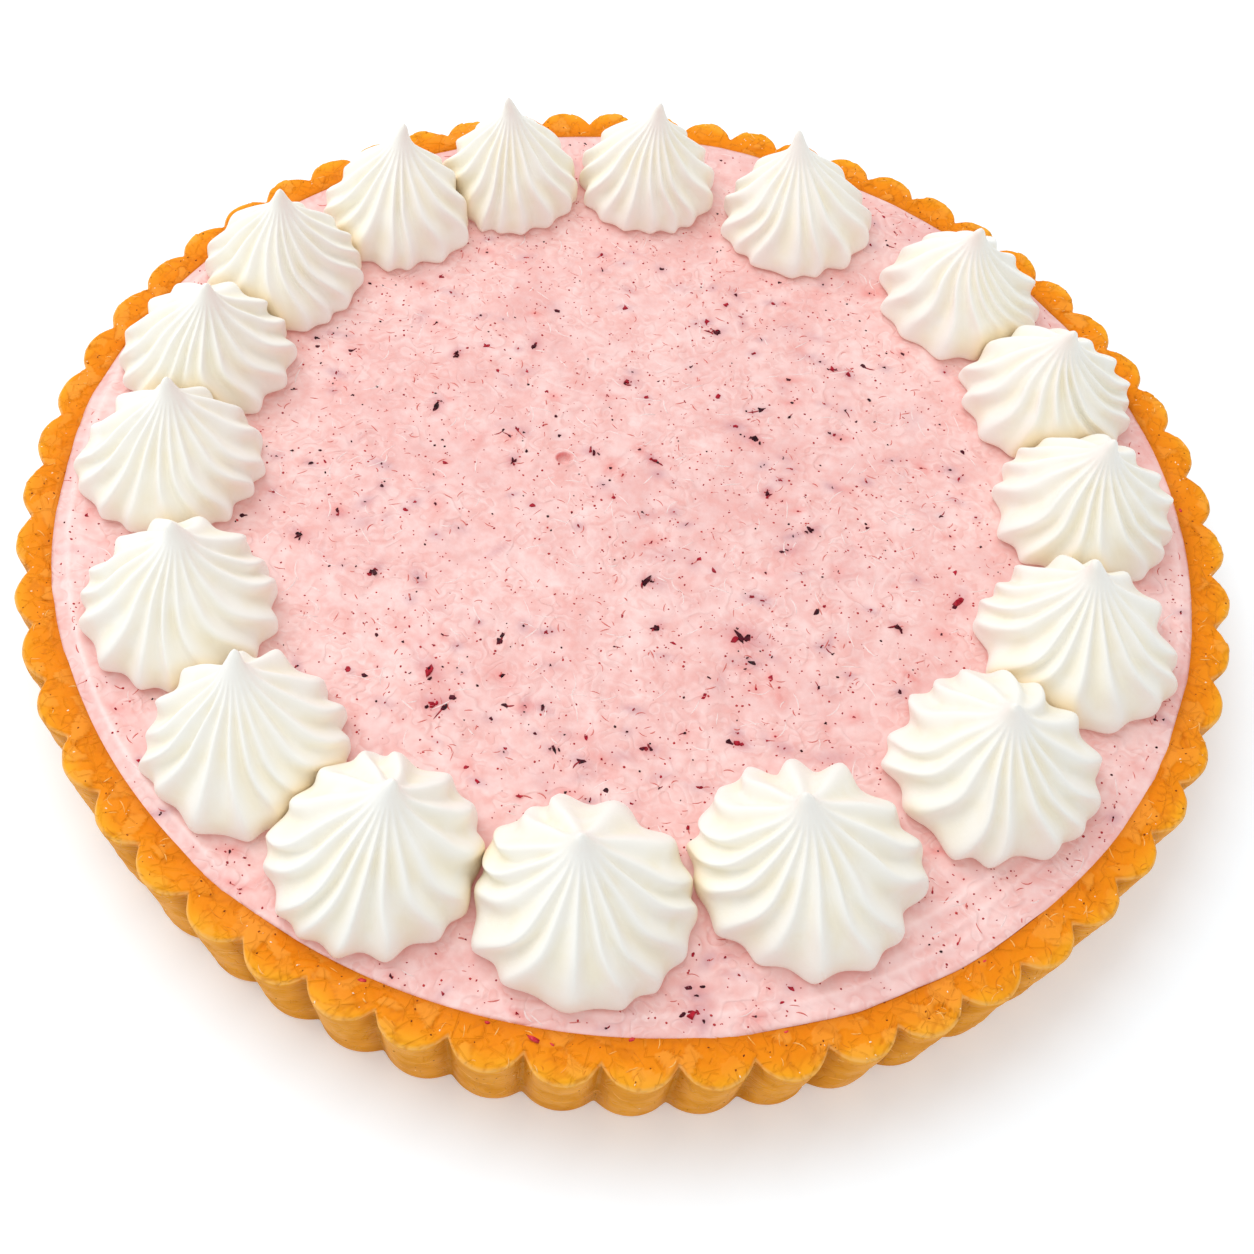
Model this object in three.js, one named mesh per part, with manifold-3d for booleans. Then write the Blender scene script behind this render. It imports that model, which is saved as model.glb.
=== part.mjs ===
// A round strawberry cream tart with a fluted short-crust shell.
//
// The shell was baked in a loose-bottomed fluted tin of 28 cm. A pink strawberry cream filling
// lies in it, spread level with the rim and dotted with small pieces of fruit. Seventeen piped
// kisses of white cream stand in a ring on the filling, each pressed against its neighbours.
//
// Units are millimetres and +Z is up. The origin is the middle of the underside, and the tart is
// seen from the front, the -Y side, with +X to the right.

import * as THREE from 'three';
import { mergeVertices } from 'three/addons/utils/BufferGeometryUtils.js';
import Module from 'manifold-3d';

// ---------------------------------------------------------------- driving dimensions

const SHELL_HEIGHT = 25;            // rim above the underside, as the tin's wall
const NOTCH_RADIUS_TOP = 134.5;     // bottom of the grooves between flutes, at the rim
const NOTCH_RADIUS_FOOT = 132.6;    // the same at the foot: the wall leans out a little
const FLUTE_COUNT = 59;
const FLUTE_DEPTH_TOP = 4;          // how far a flute stands out of the grooves
const FLUTE_DEPTH_FOOT = 2.2;
const FLUTE_DEPTH_SIDEWAYS = 0.4;   // deeper at the right by this, and shallower at the left
const FLUTE_DEPTH_ENDWAYS = 0.9;    // deeper at front and back, and shallower at both sides
const FLUTE_STEPS = 6;              // facets across one flute
const FLUTE_START = -7.4;           // angle of the first groove, degrees from +X
const FLUTE_DRIFT_ONCE = 2.7;       // how far the flutes stray from even, once round, degrees
const FLUTE_DRIFT_TWICE = 1.1;      // and twice round
const FLUTE_DRIFT_START = 107;      // where the second of these begins, degrees
const CREAM_EDGE_RADIUS = 129;      // inner edge of the rim
const WALL_FOOT_RADIUS = 126.5;     // inner face of the wall where it meets the floor
const FLOOR_THICKNESS = 4.5;
const RIM_ROUNDING = 1.5;           // the baked edge is rounded off by this much
const RIM_UNEVENNESS = 0.35;        // how much the rim rises and falls
const RIM_WAVES = [                 // its waves: how many in a turn, and where they begin
  { count: 3, start: 1 },
  { count: 7, start: 0 },
];

const PIECE_GAP = 0.3;              // clearance between neighbouring pieces
const FILLING_DROP = 0.3;           // the filling lies this much under the rim
const FILLING_STEPS = 54;           // facets round the filling
const SPREAD_RELIEF = 0.4;          // height of the marks that the palette knife left
const SPREAD_WAVE = [11, 13];       // their size across and to the back
const SPREAD_BEND = [1.7, 1.3];     // how much they bend, across and to the back
const SPREAD_BEND_WAVE = [23, 19];  // size of these bends
const SPREAD_RADIUS = 80;           // the marks lie inside the ring of kisses
const SPREAD_FADE = 7;              // and fade out over this much
const SPREAD_RINGS = [66, 52, 38, 24, 11, 0];
const UNDER_KISSES_RADIUS = 104;

const KISS_HEIGHT = 31;
const KISS_RIDGES = 15;             // as many as the star nozzle has teeth
const KISS_GROOVE = 0.15;           // depth of the grooves, as a share of the radius
const KISS_UNEVENNESS = 0.04;       // how unlike each other the ridges are, as such a share
const KISS_STRAY = 5;               // how far a ridge strays to a side, degrees
const KISS_SWIRL_TOP = 0.8;         // the swirl ends here, as a share of the height
const KISS_GATHER = 0.38;           // how much the ridges draw together to the front, radians
const KISS_GATHER_BAND = [0.1, 0.5];
const KISS_SMOOTH_BAND = [0.72, 0.93];  // the ridges die away between these shares
const KISS_LEAN_CURVE = 1.6;        // power by which the lean grows with height
const KISS_PRESS_SOFTNESS = 2.5;    // roundness of the face pressed on a neighbour

// The kisses as they stand round the ring: angle from +X in degrees, distance from the middle,
// width over the ridges, how far the tip leans to the right and to the back, and how many degrees
// the ridges swirl on their way down, all by eye.
const KISSES = [
  { angle: 114, ring: 109, width: 36.5, lean: [-0.5, -1], swirl: -5 },
  { angle: 95, ring: 107.5, width: 37, lean: [2, -3], swirl: 5 },
  { angle: 72.5, ring: 105, width: 40, lean: [-4, 0.5], swirl: -8 },
  { angle: 46.5, ring: 108.5, width: 41.5, lean: [-1.5, -4.5], swirl: 6 },
  { angle: 27, ring: 107.5, width: 43, lean: [-1.5, -6], swirl: 8 },
  { angle: 7.5, ring: 104.5, width: 43.5, lean: [-2, -3.5], swirl: 4 },
  { angle: -14.5, ring: 103.5, width: 45, lean: [-3, 2.5], swirl: -6 },
  { angle: -36, ring: 101, width: 46.5, lean: [-2.5, -3.5], swirl: -10 },
  { angle: -63.5, ring: 99, width: 47.5, lean: [-5, -1], swirl: -8 },
  { angle: -89.5, ring: 103.5, width: 45.5, lean: [-2, 0], swirl: -8 },
  { angle: -112, ring: 107, width: 44.5, lean: [3.5, 1], swirl: -4 },
  { angle: -131.5, ring: 106, width: 42, lean: [-1.5, 4], swirl: 6 },
  { angle: -152.5, ring: 104, width: 43, lean: [2, 1.5], swirl: 8 },
  { angle: -175, ring: 105, width: 41.5, lean: [3, 0], swirl: 6 },
  { angle: 167, ring: 108.5, width: 42.5, lean: [5, -5], swirl: 10 },
  { angle: 149.5, ring: 109.5, width: 39.5, lean: [2, -1.5], swirl: 6 },
  { angle: 131, ring: 108, width: 38.5, lean: [2, 1.5], swirl: -6 },
];

// Outline of a kiss from its foot to its tip: height as a share of the whole height, and radius
// as a share of half the width.
const KISS_OUTLINE = [
  [0, 0.92],
  [0.09, 1],
  [0.24, 0.94],
  [0.38, 0.81],
  [0.51, 0.63],
  [0.64, 0.39],
  [0.77, 0.18],
  [0.91, 0.07],
];

// The larger pieces of fruit in the filling: place across and to the back, length, and turn in
// degrees. The rest are scattered between them.
const LARGE_FRUIT = [
  { at: [-50, 21], length: 4.2, turn: 80 },
  { at: [14, 58], length: 3.6, turn: 20 },
  { at: [-30, 45], length: 3.2, turn: 70 },
  { at: [26, 24], length: 4.4, turn: 150 },
  { at: [-55, -30], length: 3.2, turn: 60 },
  { at: [-73, -23], length: 3.4, turn: 120 },
  { at: [5, -22], length: 4, turn: 10 },
  { at: [27, -34], length: 7, turn: 12 },
  { at: [-38, -54], length: 5.2, turn: 105 },
  { at: [-36, -62], length: 4.6, turn: 30 },
  { at: [28, -61], length: 3.8, turn: 0 },
  { at: [75, -16], length: 4.4, turn: 60 },
  { at: [24, -122], length: 4.4, turn: 15 },
];
const SMALL_FRUIT_COUNT = 12;
const SMALL_FRUIT_LENGTH = 3;
const SMALL_FRUIT_SPACING = 13;     // least distance between two pieces
const FRUIT_WIDTH_SHARE = 0.55;     // of a piece's length
const FRUIT_HEIGHT = 1.3;           // thickness of a piece, half of it sunk in the cream
const FRUIT_SEED = 11;
const CREAM_SEED = 40;

const CRUST_COLOUR = 0xe8952c;
const FILLING_COLOUR = 0xf6c3bf;
const CREAM_COLOUR = 0xf8f4ea;

// ---------------------------------------------------------------- helpers

const TURN = 2 * Math.PI;
const FILLING_LEVEL = SHELL_HEIGHT - FILLING_DROP;
const MERGE_DISTANCE = 1e-4;
const radians = THREE.MathUtils.degToRad;
const { lerp, smoothstep } = THREE.MathUtils;

// A repeatable stream of random numbers from 0 to 1, each from the one before it.
function randomStream(seed) {
  const [factor, step, range] = [1664525, 1013904223, 2 ** 32];
  let state = seed;
  return () => {
    state = (state * factor + step) % range;
    return state / range;
  };
}

// The smaller of two lengths, with a soft passage from one to the other.
function softMinimum(a, b, softness) {
  const share = Math.max(softness - Math.abs(a - b), 0) / softness;
  return Math.min(a, b) - (share * share * softness) / 4;
}

// Leaves one vertex at each place and drops the facets that have no area, at the poles.
function closed(geometry) {
  geometry.deleteAttribute('normal');
  geometry.deleteAttribute('uv');
  const merged = mergeVertices(geometry, MERGE_DISTANCE);
  const corners = merged.index.array;
  const kept = [];
  for (let i = 0; i < corners.length; i += 3) {
    const [a, b, c] = [corners[i], corners[i + 1], corners[i + 2]];
    if (a !== b && b !== c && c !== a) {
      kept.push(a, b, c);
    }
  }
  merged.setIndex(kept);
  return merged;
}

// Turns a profile of [radius, height] pairs, from the axis to the axis, about the Z axis, with
// the first vertices on +X.
function turned(profile, steps) {
  const points = profile.map(([radius, height]) => new THREE.Vector2(radius, height));
  const geometry = new THREE.LatheGeometry(points, steps);
  geometry.rotateX(Math.PI / 2);
  geometry.rotateZ(Math.PI / 2);
  return closed(geometry);
}

// Moves every vertex: the rule gets its angle about Z, radius and height, and gives [x, y, z].
function reshape(geometry, rule) {
  const position = geometry.attributes.position;
  for (let i = 0; i < position.count; i += 1) {
    const x = position.getX(i);
    const y = position.getY(i);
    const moved = rule(Math.atan2(y, x), Math.hypot(x, y), position.getZ(i));
    position.setXYZ(i, ...moved);
  }
  geometry.computeVertexNormals();
  return geometry;
}

function namedMesh(name, geometry, material) {
  const mesh = new THREE.Mesh(geometry, material);
  mesh.name = name;
  return mesh;
}

// ---------------------------------------------------------------- crust

// The flutes are not quite evenly wide: their angle drifts by up to a few degrees.
function driftedAngle(angle) {
  const once = FLUTE_DRIFT_ONCE * Math.cos(angle);
  const twice = FLUTE_DRIFT_TWICE * Math.cos(2 * angle - radians(FLUTE_DRIFT_START));
  return angle + radians(once + twice);
}

// The flutes taper to the foot, and are a little deeper on some sides than on others.
function fluteDepth(angle, height) {
  const taper = FLUTE_DEPTH_FOOT / FLUTE_DEPTH_TOP;
  const sideways = FLUTE_DEPTH_SIDEWAYS * Math.cos(angle);
  const endways = FLUTE_DEPTH_ENDWAYS * Math.cos(2 * angle);
  return (FLUTE_DEPTH_TOP + sideways - endways) * lerp(taper, 1, height / SHELL_HEIGHT);
}

// Height of a flute over the groove beside it: one arc of a circle across each flute.
function fluteBulge(angle, depth) {
  const flutes = ((angle - radians(FLUTE_START)) / TURN) * FLUTE_COUNT;
  const halfWidth = (Math.PI * NOTCH_RADIUS_TOP) / FLUTE_COUNT;
  const fromMiddle = (flutes - Math.floor(flutes) - 0.5) * 2 * halfWidth;
  const arcRadius = (halfWidth ** 2 + depth ** 2) / (2 * depth);
  return Math.sqrt(arcRadius ** 2 - fromMiddle ** 2) - (arcRadius - depth);
}

// The rim rises and falls slowly, as pastry trimmed by hand does.
function rimRise(angle) {
  const waves = RIM_WAVES.map(({ count, start }) => Math.sin(count * angle + start));
  return (RIM_UNEVENNESS / 2) * (waves[0] + waves[1]);
}

function crustGeometry() {
  const edge = CREAM_EDGE_RADIUS;
  const top = SHELL_HEIGHT;
  const shoulder = NOTCH_RADIUS_TOP - RIM_ROUNDING;
  const profile = [
    [0, 0],
    [NOTCH_RADIUS_FOOT, 0],
    [NOTCH_RADIUS_TOP, top - RIM_ROUNDING],
    [shoulder, top],
    [edge, FILLING_LEVEL],
    [WALL_FOOT_RADIUS, FLOOR_THICKNESS],
    [0, FLOOR_THICKNESS],
  ];
  const geometry = turned(profile, FLUTE_COUNT * FLUTE_STEPS);
  geometry.rotateZ(radians(FLUTE_START));
  return reshape(geometry, (angle, radius, height) => {
    const isFluted = radius > edge + 1;
    const depth = fluteDepth(angle, height);
    const reach = radius + (isFluted ? fluteBulge(angle, depth) : 0);
    const rise = height > top / 2 ? rimRise(angle) : 0;
    const place = driftedAngle(angle);
    return [reach * Math.cos(place), reach * Math.sin(place), height + rise];
  });
}

// ---------------------------------------------------------------- filling

// Height of the spread cream over its level: broad low swells, none under the kisses.
function spreadRelief(x, y) {
  const across = x / SPREAD_WAVE[0] + SPREAD_BEND[0] * Math.sin(y / SPREAD_BEND_WAVE[1]);
  const along = y / SPREAD_WAVE[1] + SPREAD_BEND[1] * Math.sin(x / SPREAD_BEND_WAVE[0]);
  const swell = Math.sin(across) * Math.cos(along);
  const radius = Math.hypot(x, y);
  const fade = 1 - smoothstep(radius, SPREAD_RADIUS - SPREAD_FADE, SPREAD_RADIUS);
  return (SPREAD_RELIEF / 2) * swell * fade;
}

function fillingBase() {
  const foot = FLOOR_THICKNESS + PIECE_GAP;
  const footRadius = WALL_FOOT_RADIUS - PIECE_GAP;
  const topRadius = CREAM_EDGE_RADIUS - PIECE_GAP;
  const rings = [topRadius, UNDER_KISSES_RADIUS, SPREAD_RADIUS, ...SPREAD_RINGS];
  const profile = [[0, foot], [footRadius, foot], ...rings.map((radius) => [radius, FILLING_LEVEL])];
  return reshape(turned(profile, FILLING_STEPS), (angle, radius, height) => {
    const x = radius * Math.cos(angle);
    const y = radius * Math.sin(angle);
    const rise = height > foot ? spreadRelief(x, y) : 0;
    return [x, y, height + rise];
  });
}

// Small pieces lie between the large ones, inside the ring, none nearer than the least distance.
function scatteredFruit() {
  const random = randomStream(FRUIT_SEED);
  const pieces = [];
  while (pieces.length < SMALL_FRUIT_COUNT) {
    const radius = (SPREAD_RADIUS - SMALL_FRUIT_LENGTH) * Math.sqrt(random());
    const angle = TURN * random();
    const at = [radius * Math.cos(angle), radius * Math.sin(angle)];
    const turn = 180 * random();
    const others = [...LARGE_FRUIT, ...pieces];
    const isFree = others.every((other) => (
      Math.hypot(other.at[0] - at[0], other.at[1] - at[1]) > SMALL_FRUIT_SPACING
    ));
    if (isFree) {
      pieces.push({ at, length: SMALL_FRUIT_LENGTH, turn });
    }
  }
  return pieces;
}

function fruitGeometry({ at, length, turn }) {
  const geometry = new THREE.IcosahedronGeometry(0.5, 0);
  geometry.scale(length, length * FRUIT_WIDTH_SHARE, FRUIT_HEIGHT);
  geometry.rotateZ(radians(turn));
  geometry.translate(at[0], at[1], FILLING_LEVEL + spreadRelief(at[0], at[1]));
  return closed(geometry);
}

function asSolid(library, geometry) {
  const mesh = new library.Mesh({
    numProp: 3,
    vertProperties: new Float32Array(geometry.attributes.position.array),
    triVerts: new Uint32Array(geometry.index.array),
  });
  return new library.Manifold(mesh);
}

async function fillingGeometry() {
  const library = await Module();
  library.setup();
  const pieces = [...LARGE_FRUIT, ...scatteredFruit()];
  const solids = pieces.map((piece) => asSolid(library, fruitGeometry(piece)));
  const joined = solids.reduce((sum, solid) => sum.add(solid), asSolid(library, fillingBase()));
  const result = joined.getMesh();
  const geometry = new THREE.BufferGeometry();
  geometry.setAttribute('position', new THREE.BufferAttribute(result.vertProperties, 3));
  geometry.setIndex(new THREE.BufferAttribute(result.triVerts, 1));
  geometry.computeVertexNormals();
  return geometry;
}

// ---------------------------------------------------------------- cream kisses

function kissCentre({ angle, ring }) {
  return new THREE.Vector2(ring * Math.cos(radians(angle)), ring * Math.sin(radians(angle)));
}

// The upright plane where a kiss meets a neighbour: its direction from the kiss and distance.
function pressedFace(kiss, neighbour) {
  const toward = kissCentre(neighbour).sub(kissCentre(kiss));
  const span = toward.length();
  const [own, other] = [kiss.width / 2, neighbour.width / 2];
  const distance = (span ** 2 + own ** 2 - other ** 2) / (2 * span) - PIECE_GAP / 2;
  return { direction: toward.normalize(), distance };
}

function pressBack(point, { direction, distance }) {
  const reach = point.dot(direction);
  const held = softMinimum(reach, distance, KISS_PRESS_SOFTNESS);
  return point.addScaledVector(direction, held - reach);
}

// One kiss about its own axis: ridges that swirl up to a smooth leaning tip.
function kissGeometry(index) {
  const kiss = KISSES[index];
  const random = randomStream(CREAM_SEED + index);
  const steps = 2 * KISS_RIDGES;
  const unevenness = Array.from({ length: steps }, () => random() - 0.5);
  const start = TURN * random();
  const faces = [1, KISSES.length - 1].map((shift) => (
    pressedFace(kiss, KISSES[(index + shift) % KISSES.length])
  ));
  const profile = KISS_OUTLINE.map(([rise, reach]) => (
    [(reach * kiss.width) / 2, rise * KISS_HEIGHT]
  ));
  const geometry = turned([[0, 0], ...profile, [0, KISS_HEIGHT]], steps);
  return reshape(geometry, (angle, radius, height) => {
    const rise = Math.max(height, 0) / KISS_HEIGHT;
    const step = (Math.round((angle / TURN) * steps) + steps) % steps;
    const ridged = 1 - smoothstep(rise, ...KISS_SMOOTH_BAND);
    const groove = step % 2 === 0 ? 0 : KISS_GROOVE;
    const reach = radius * (1 - ridged * (groove + KISS_UNEVENNESS * unevenness[step]));
    const swirl = radians(kiss.swirl) * (1 - smoothstep(rise, 0, KISS_SWIRL_TOP));
    const around = angle + start + swirl + ridged * radians(KISS_STRAY) * unevenness[step];
    const gather = KISS_GATHER * smoothstep(rise, ...KISS_GATHER_BAND);
    const place = around - gather * Math.cos(around);
    const lean = rise ** KISS_LEAN_CURVE;
    const point = new THREE.Vector2(
      reach * Math.cos(place) + lean * kiss.lean[0],
      reach * Math.sin(place) + lean * kiss.lean[1],
    );
    faces.forEach((face) => pressBack(point, face));
    return [point.x, point.y, height];
  });
}

// ---------------------------------------------------------------- the tart

const crustMaterial = new THREE.MeshStandardMaterial({ color: CRUST_COLOUR, roughness: 0.62 });
const fillingMaterial = new THREE.MeshStandardMaterial({ color: FILLING_COLOUR, roughness: 0.45 });
const creamMaterial = new THREE.MeshStandardMaterial({ color: CREAM_COLOUR, roughness: 0.5 });

const tart = new THREE.Group();
tart.add(namedMesh('crust', crustGeometry(), crustMaterial));
tart.add(namedMesh('filling', await fillingGeometry(), fillingMaterial));

KISSES.forEach((kiss, index) => {
  const number = String(index + 1).padStart(2, '0');
  const mesh = namedMesh(`cream_kiss_${number}`, kissGeometry(index), creamMaterial);
  const centre = kissCentre(kiss);
  mesh.position.set(centre.x, centre.y, FILLING_LEVEL + PIECE_GAP);
  tart.add(mesh);
});

export default tart;
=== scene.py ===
"""A strawberry cream tart: fluted short crust, pink cream with fruit, and a ring of piped kisses.

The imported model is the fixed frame. Every solid of it is replaced here by a finer piece of the same
form. Lengths are metres, written as millimetres times MM where they are driving dimensions.
"""
import logging
import math
from collections.abc import Callable, Iterator
from dataclasses import dataclass, field, replace
from enum import Enum

import bmesh
import bpy
import numpy as np
from mathutils import Matrix, Vector, noise
from mathutils.bvhtree import BVHTree


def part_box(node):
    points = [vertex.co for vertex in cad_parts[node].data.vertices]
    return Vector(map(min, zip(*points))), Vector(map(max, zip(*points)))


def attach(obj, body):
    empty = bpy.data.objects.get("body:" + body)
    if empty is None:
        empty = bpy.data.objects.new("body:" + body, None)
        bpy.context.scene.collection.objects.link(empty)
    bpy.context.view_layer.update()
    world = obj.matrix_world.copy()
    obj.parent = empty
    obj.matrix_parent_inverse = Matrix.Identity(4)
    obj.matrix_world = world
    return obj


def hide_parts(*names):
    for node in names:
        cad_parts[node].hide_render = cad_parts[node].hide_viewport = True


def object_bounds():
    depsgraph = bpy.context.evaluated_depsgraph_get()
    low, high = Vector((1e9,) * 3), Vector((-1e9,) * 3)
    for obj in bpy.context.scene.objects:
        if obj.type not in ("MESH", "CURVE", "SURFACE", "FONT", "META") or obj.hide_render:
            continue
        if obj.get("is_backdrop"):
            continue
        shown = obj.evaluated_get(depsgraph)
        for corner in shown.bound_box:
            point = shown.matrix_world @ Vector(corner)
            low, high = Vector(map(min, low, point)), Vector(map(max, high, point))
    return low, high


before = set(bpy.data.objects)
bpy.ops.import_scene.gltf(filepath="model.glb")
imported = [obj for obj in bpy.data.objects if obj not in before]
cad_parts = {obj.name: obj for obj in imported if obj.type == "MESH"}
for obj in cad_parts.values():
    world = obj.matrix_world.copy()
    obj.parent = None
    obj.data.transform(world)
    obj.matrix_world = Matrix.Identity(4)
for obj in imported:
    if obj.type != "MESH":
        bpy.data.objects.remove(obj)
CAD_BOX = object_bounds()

LOG = logging.getLogger("tart")
MM = 0.001
TURN = 2 * math.pi
UP = Vector((0, 0, 1))


# ------------------------------------------------------------------ numbers and curves


def smoothstep(value: float, low: float, high: float) -> float:
    """Rises smoothly from 0 at low to 1 at high."""
    share = min(max((value - low) / (high - low), 0.0), 1.0)
    return share * share * (3 - 2 * share)


def mixed(first: float, second: float, share: float) -> float:
    """The value a share of the way from the first to the second."""
    return first + (second - first) * share


def soft_minimum(first: float, second: float, softness: float) -> float:
    """The smaller of two lengths, with a soft passage from one to the other."""
    share = max(softness - abs(first - second), 0.0) / softness
    return min(first, second) - share * share * softness / 4


def smooth_curve(points: list[tuple[float, float]], count: int) -> list[Vector]:
    """Draws a smooth curve through points and cuts it into even steps.

    Args:
        points: Radius and height of each point that the curve passes.
        count: How many points the result has.

    Returns:
        Points in the XZ plane, evenly spaced along the curve.
    """
    ends = [points[0], *points, points[-1]]
    fine: list[Vector] = []
    pieces = 24
    for before, start, end, after in zip(ends, ends[1:], ends[2:], ends[3:]):
        p0, p1, p2, p3 = (Vector(point) for point in (before, start, end, after))
        for step in range(pieces):
            t = step / pieces
            bend = (2 * p0 - 5 * p1 + 4 * p2 - p3) * t * t + (3 * p1 - p0 - 3 * p2 + p3) * t * t * t
            fine.append((2 * p1 + (p2 - p0) * t + bend) / 2)
    fine.append(Vector(points[-1]))
    lengths = np.cumsum([0.0] + [(b - a).length for a, b in zip(fine, fine[1:])])
    even = np.linspace(0.0, lengths[-1], count)
    radii = np.interp(even, lengths, [point.x for point in fine])
    heights = np.interp(even, lengths, [point.y for point in fine])
    return [Vector((max(radius, 0.0), 0, height)) for radius, height in zip(radii, heights)]


def wrinkle(place: Vector, size: float, seed: float) -> float:
    """Smooth noise from about -1 to 1 with waves of the given size."""
    return noise.noise(place / size + Vector((seed, 2.3 * seed, 5.1 * seed)))


def curly_line(place: Vector, size: float, width: float, seed: float) -> float:
    """1 along thin curly lines, which come and go, and 0 away from them."""
    line = 1 - smoothstep(abs(wrinkle(place, size, seed)), 0.0, width)
    return line * smoothstep(wrinkle(place, 1.3 * size, seed + 7), 0.0, 0.2)


def plates(place: Vector, size: float, seed: float) -> tuple[float, float]:
    """Uneven plates, as where a knife or a finger left flat spots.

    Args:
        place: A point of the surface.
        size: Width of a plate.
        seed: Any number, which gives another pattern.

    Returns:
        The plate's own level from -1 to 1, and how far from its edge the point is, as a share.
    """
    bend = Vector((wrinkle(place, size, seed), wrinkle(place, size, seed + 3), 0)) * 0.45
    spot = place / size + bend + Vector((seed, -seed, 0))
    spot.z = 0.0
    distances, centres = noise.voronoi(spot)
    level = noise.cell(centres[0] * 7.3)
    return 2 * level - 1, distances[1] - distances[0]


class RandomStream:
    """A repeatable stream of random numbers from 0 to 1."""

    def __init__(self, seed: int) -> None:
        """Starts the stream at a seed."""
        self.state = seed

    def __call__(self) -> float:
        """The next number."""
        self.state = (self.state * 1664525 + 1013904223) % 4294967296
        return self.state / 4294967296

    def between(self, low: float, high: float) -> float:
        """The next number, between two limits."""
        return mixed(low, high, self())


# ------------------------------------------------------------------ making pieces


def spun(profile: list[Vector], sectors: int, steps: int) -> bmesh.types.BMesh:
    """Spins a profile once about Z and closes it.

    Args:
        profile: Points in the XZ plane.
        sectors: How many equal sectors the turn is made of. One is spun, and then copied round.
        steps: Facets in one sector.

    Returns:
        A closed mesh whose open ends, if it has any, are flat faces.
    """
    form = bmesh.new()
    corners = [form.verts.new(point) for point in profile]
    edges = [form.edges.new(pair) for pair in zip(corners, corners[1:])]
    about = {"cent": (0, 0, 0), "axis": UP, "dvec": (0, 0, 0), "space": Matrix()}
    bmesh.ops.spin(form, geom=corners + edges, angle=TURN / sectors, steps=steps, use_merge=False, **about)
    sector = [*form.verts, *form.edges, *form.faces]
    bmesh.ops.spin(form, geom=sector, angle=TURN * (sectors - 1) / sectors, steps=sectors - 1,
                   use_duplicate=True, use_merge=False, **about)
    bmesh.ops.remove_doubles(form, verts=form.verts, dist=1e-6)
    rims = [edge for edge in form.edges if edge.is_boundary]
    if rims:
        bmesh.ops.holes_fill(form, edges=rims)
    bmesh.ops.recalc_face_normals(form, faces=form.faces)
    return form


def published(name: str, form: bmesh.types.BMesh, finish: "Finish",
              nodes: tuple[str, ...] = (), smooth: bool = True) -> bpy.types.Object:
    """Turns a form into a piece of the tart.

    Args:
        name: The piece's name.
        form: Its shape, which is used up.
        finish: What it is made of.
        nodes: The solids that it stands for.
        smooth: Whether it is shaded smooth.

    Returns:
        The piece, riding on the tart's body.
    """
    mesh = bpy.data.meshes.new(name)
    form.to_mesh(mesh)
    form.free()
    if smooth:
        mesh.shade_smooth()
    mesh.materials.append(finish.material())
    piece = bpy.data.objects.new(name, mesh)
    bpy.context.scene.collection.objects.link(piece)
    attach(piece, "root")
    if nodes:
        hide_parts(*nodes)
    LOG.info("%s: %d faces", name, len(mesh.polygons))
    return piece


# ------------------------------------------------------------------ shading


def colour(code: int) -> tuple[float, float, float, float]:
    """A colour as shaders take it, from its red, green and blue written as one hex number."""
    parts = [(code >> shift & 255) / 255 for shift in (16, 8, 0)]
    linear = [part / 12.92 if part <= 0.04045 else ((part + 0.055) / 1.055) ** 2.4 for part in parts]
    return (*linear, 1.0)


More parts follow.
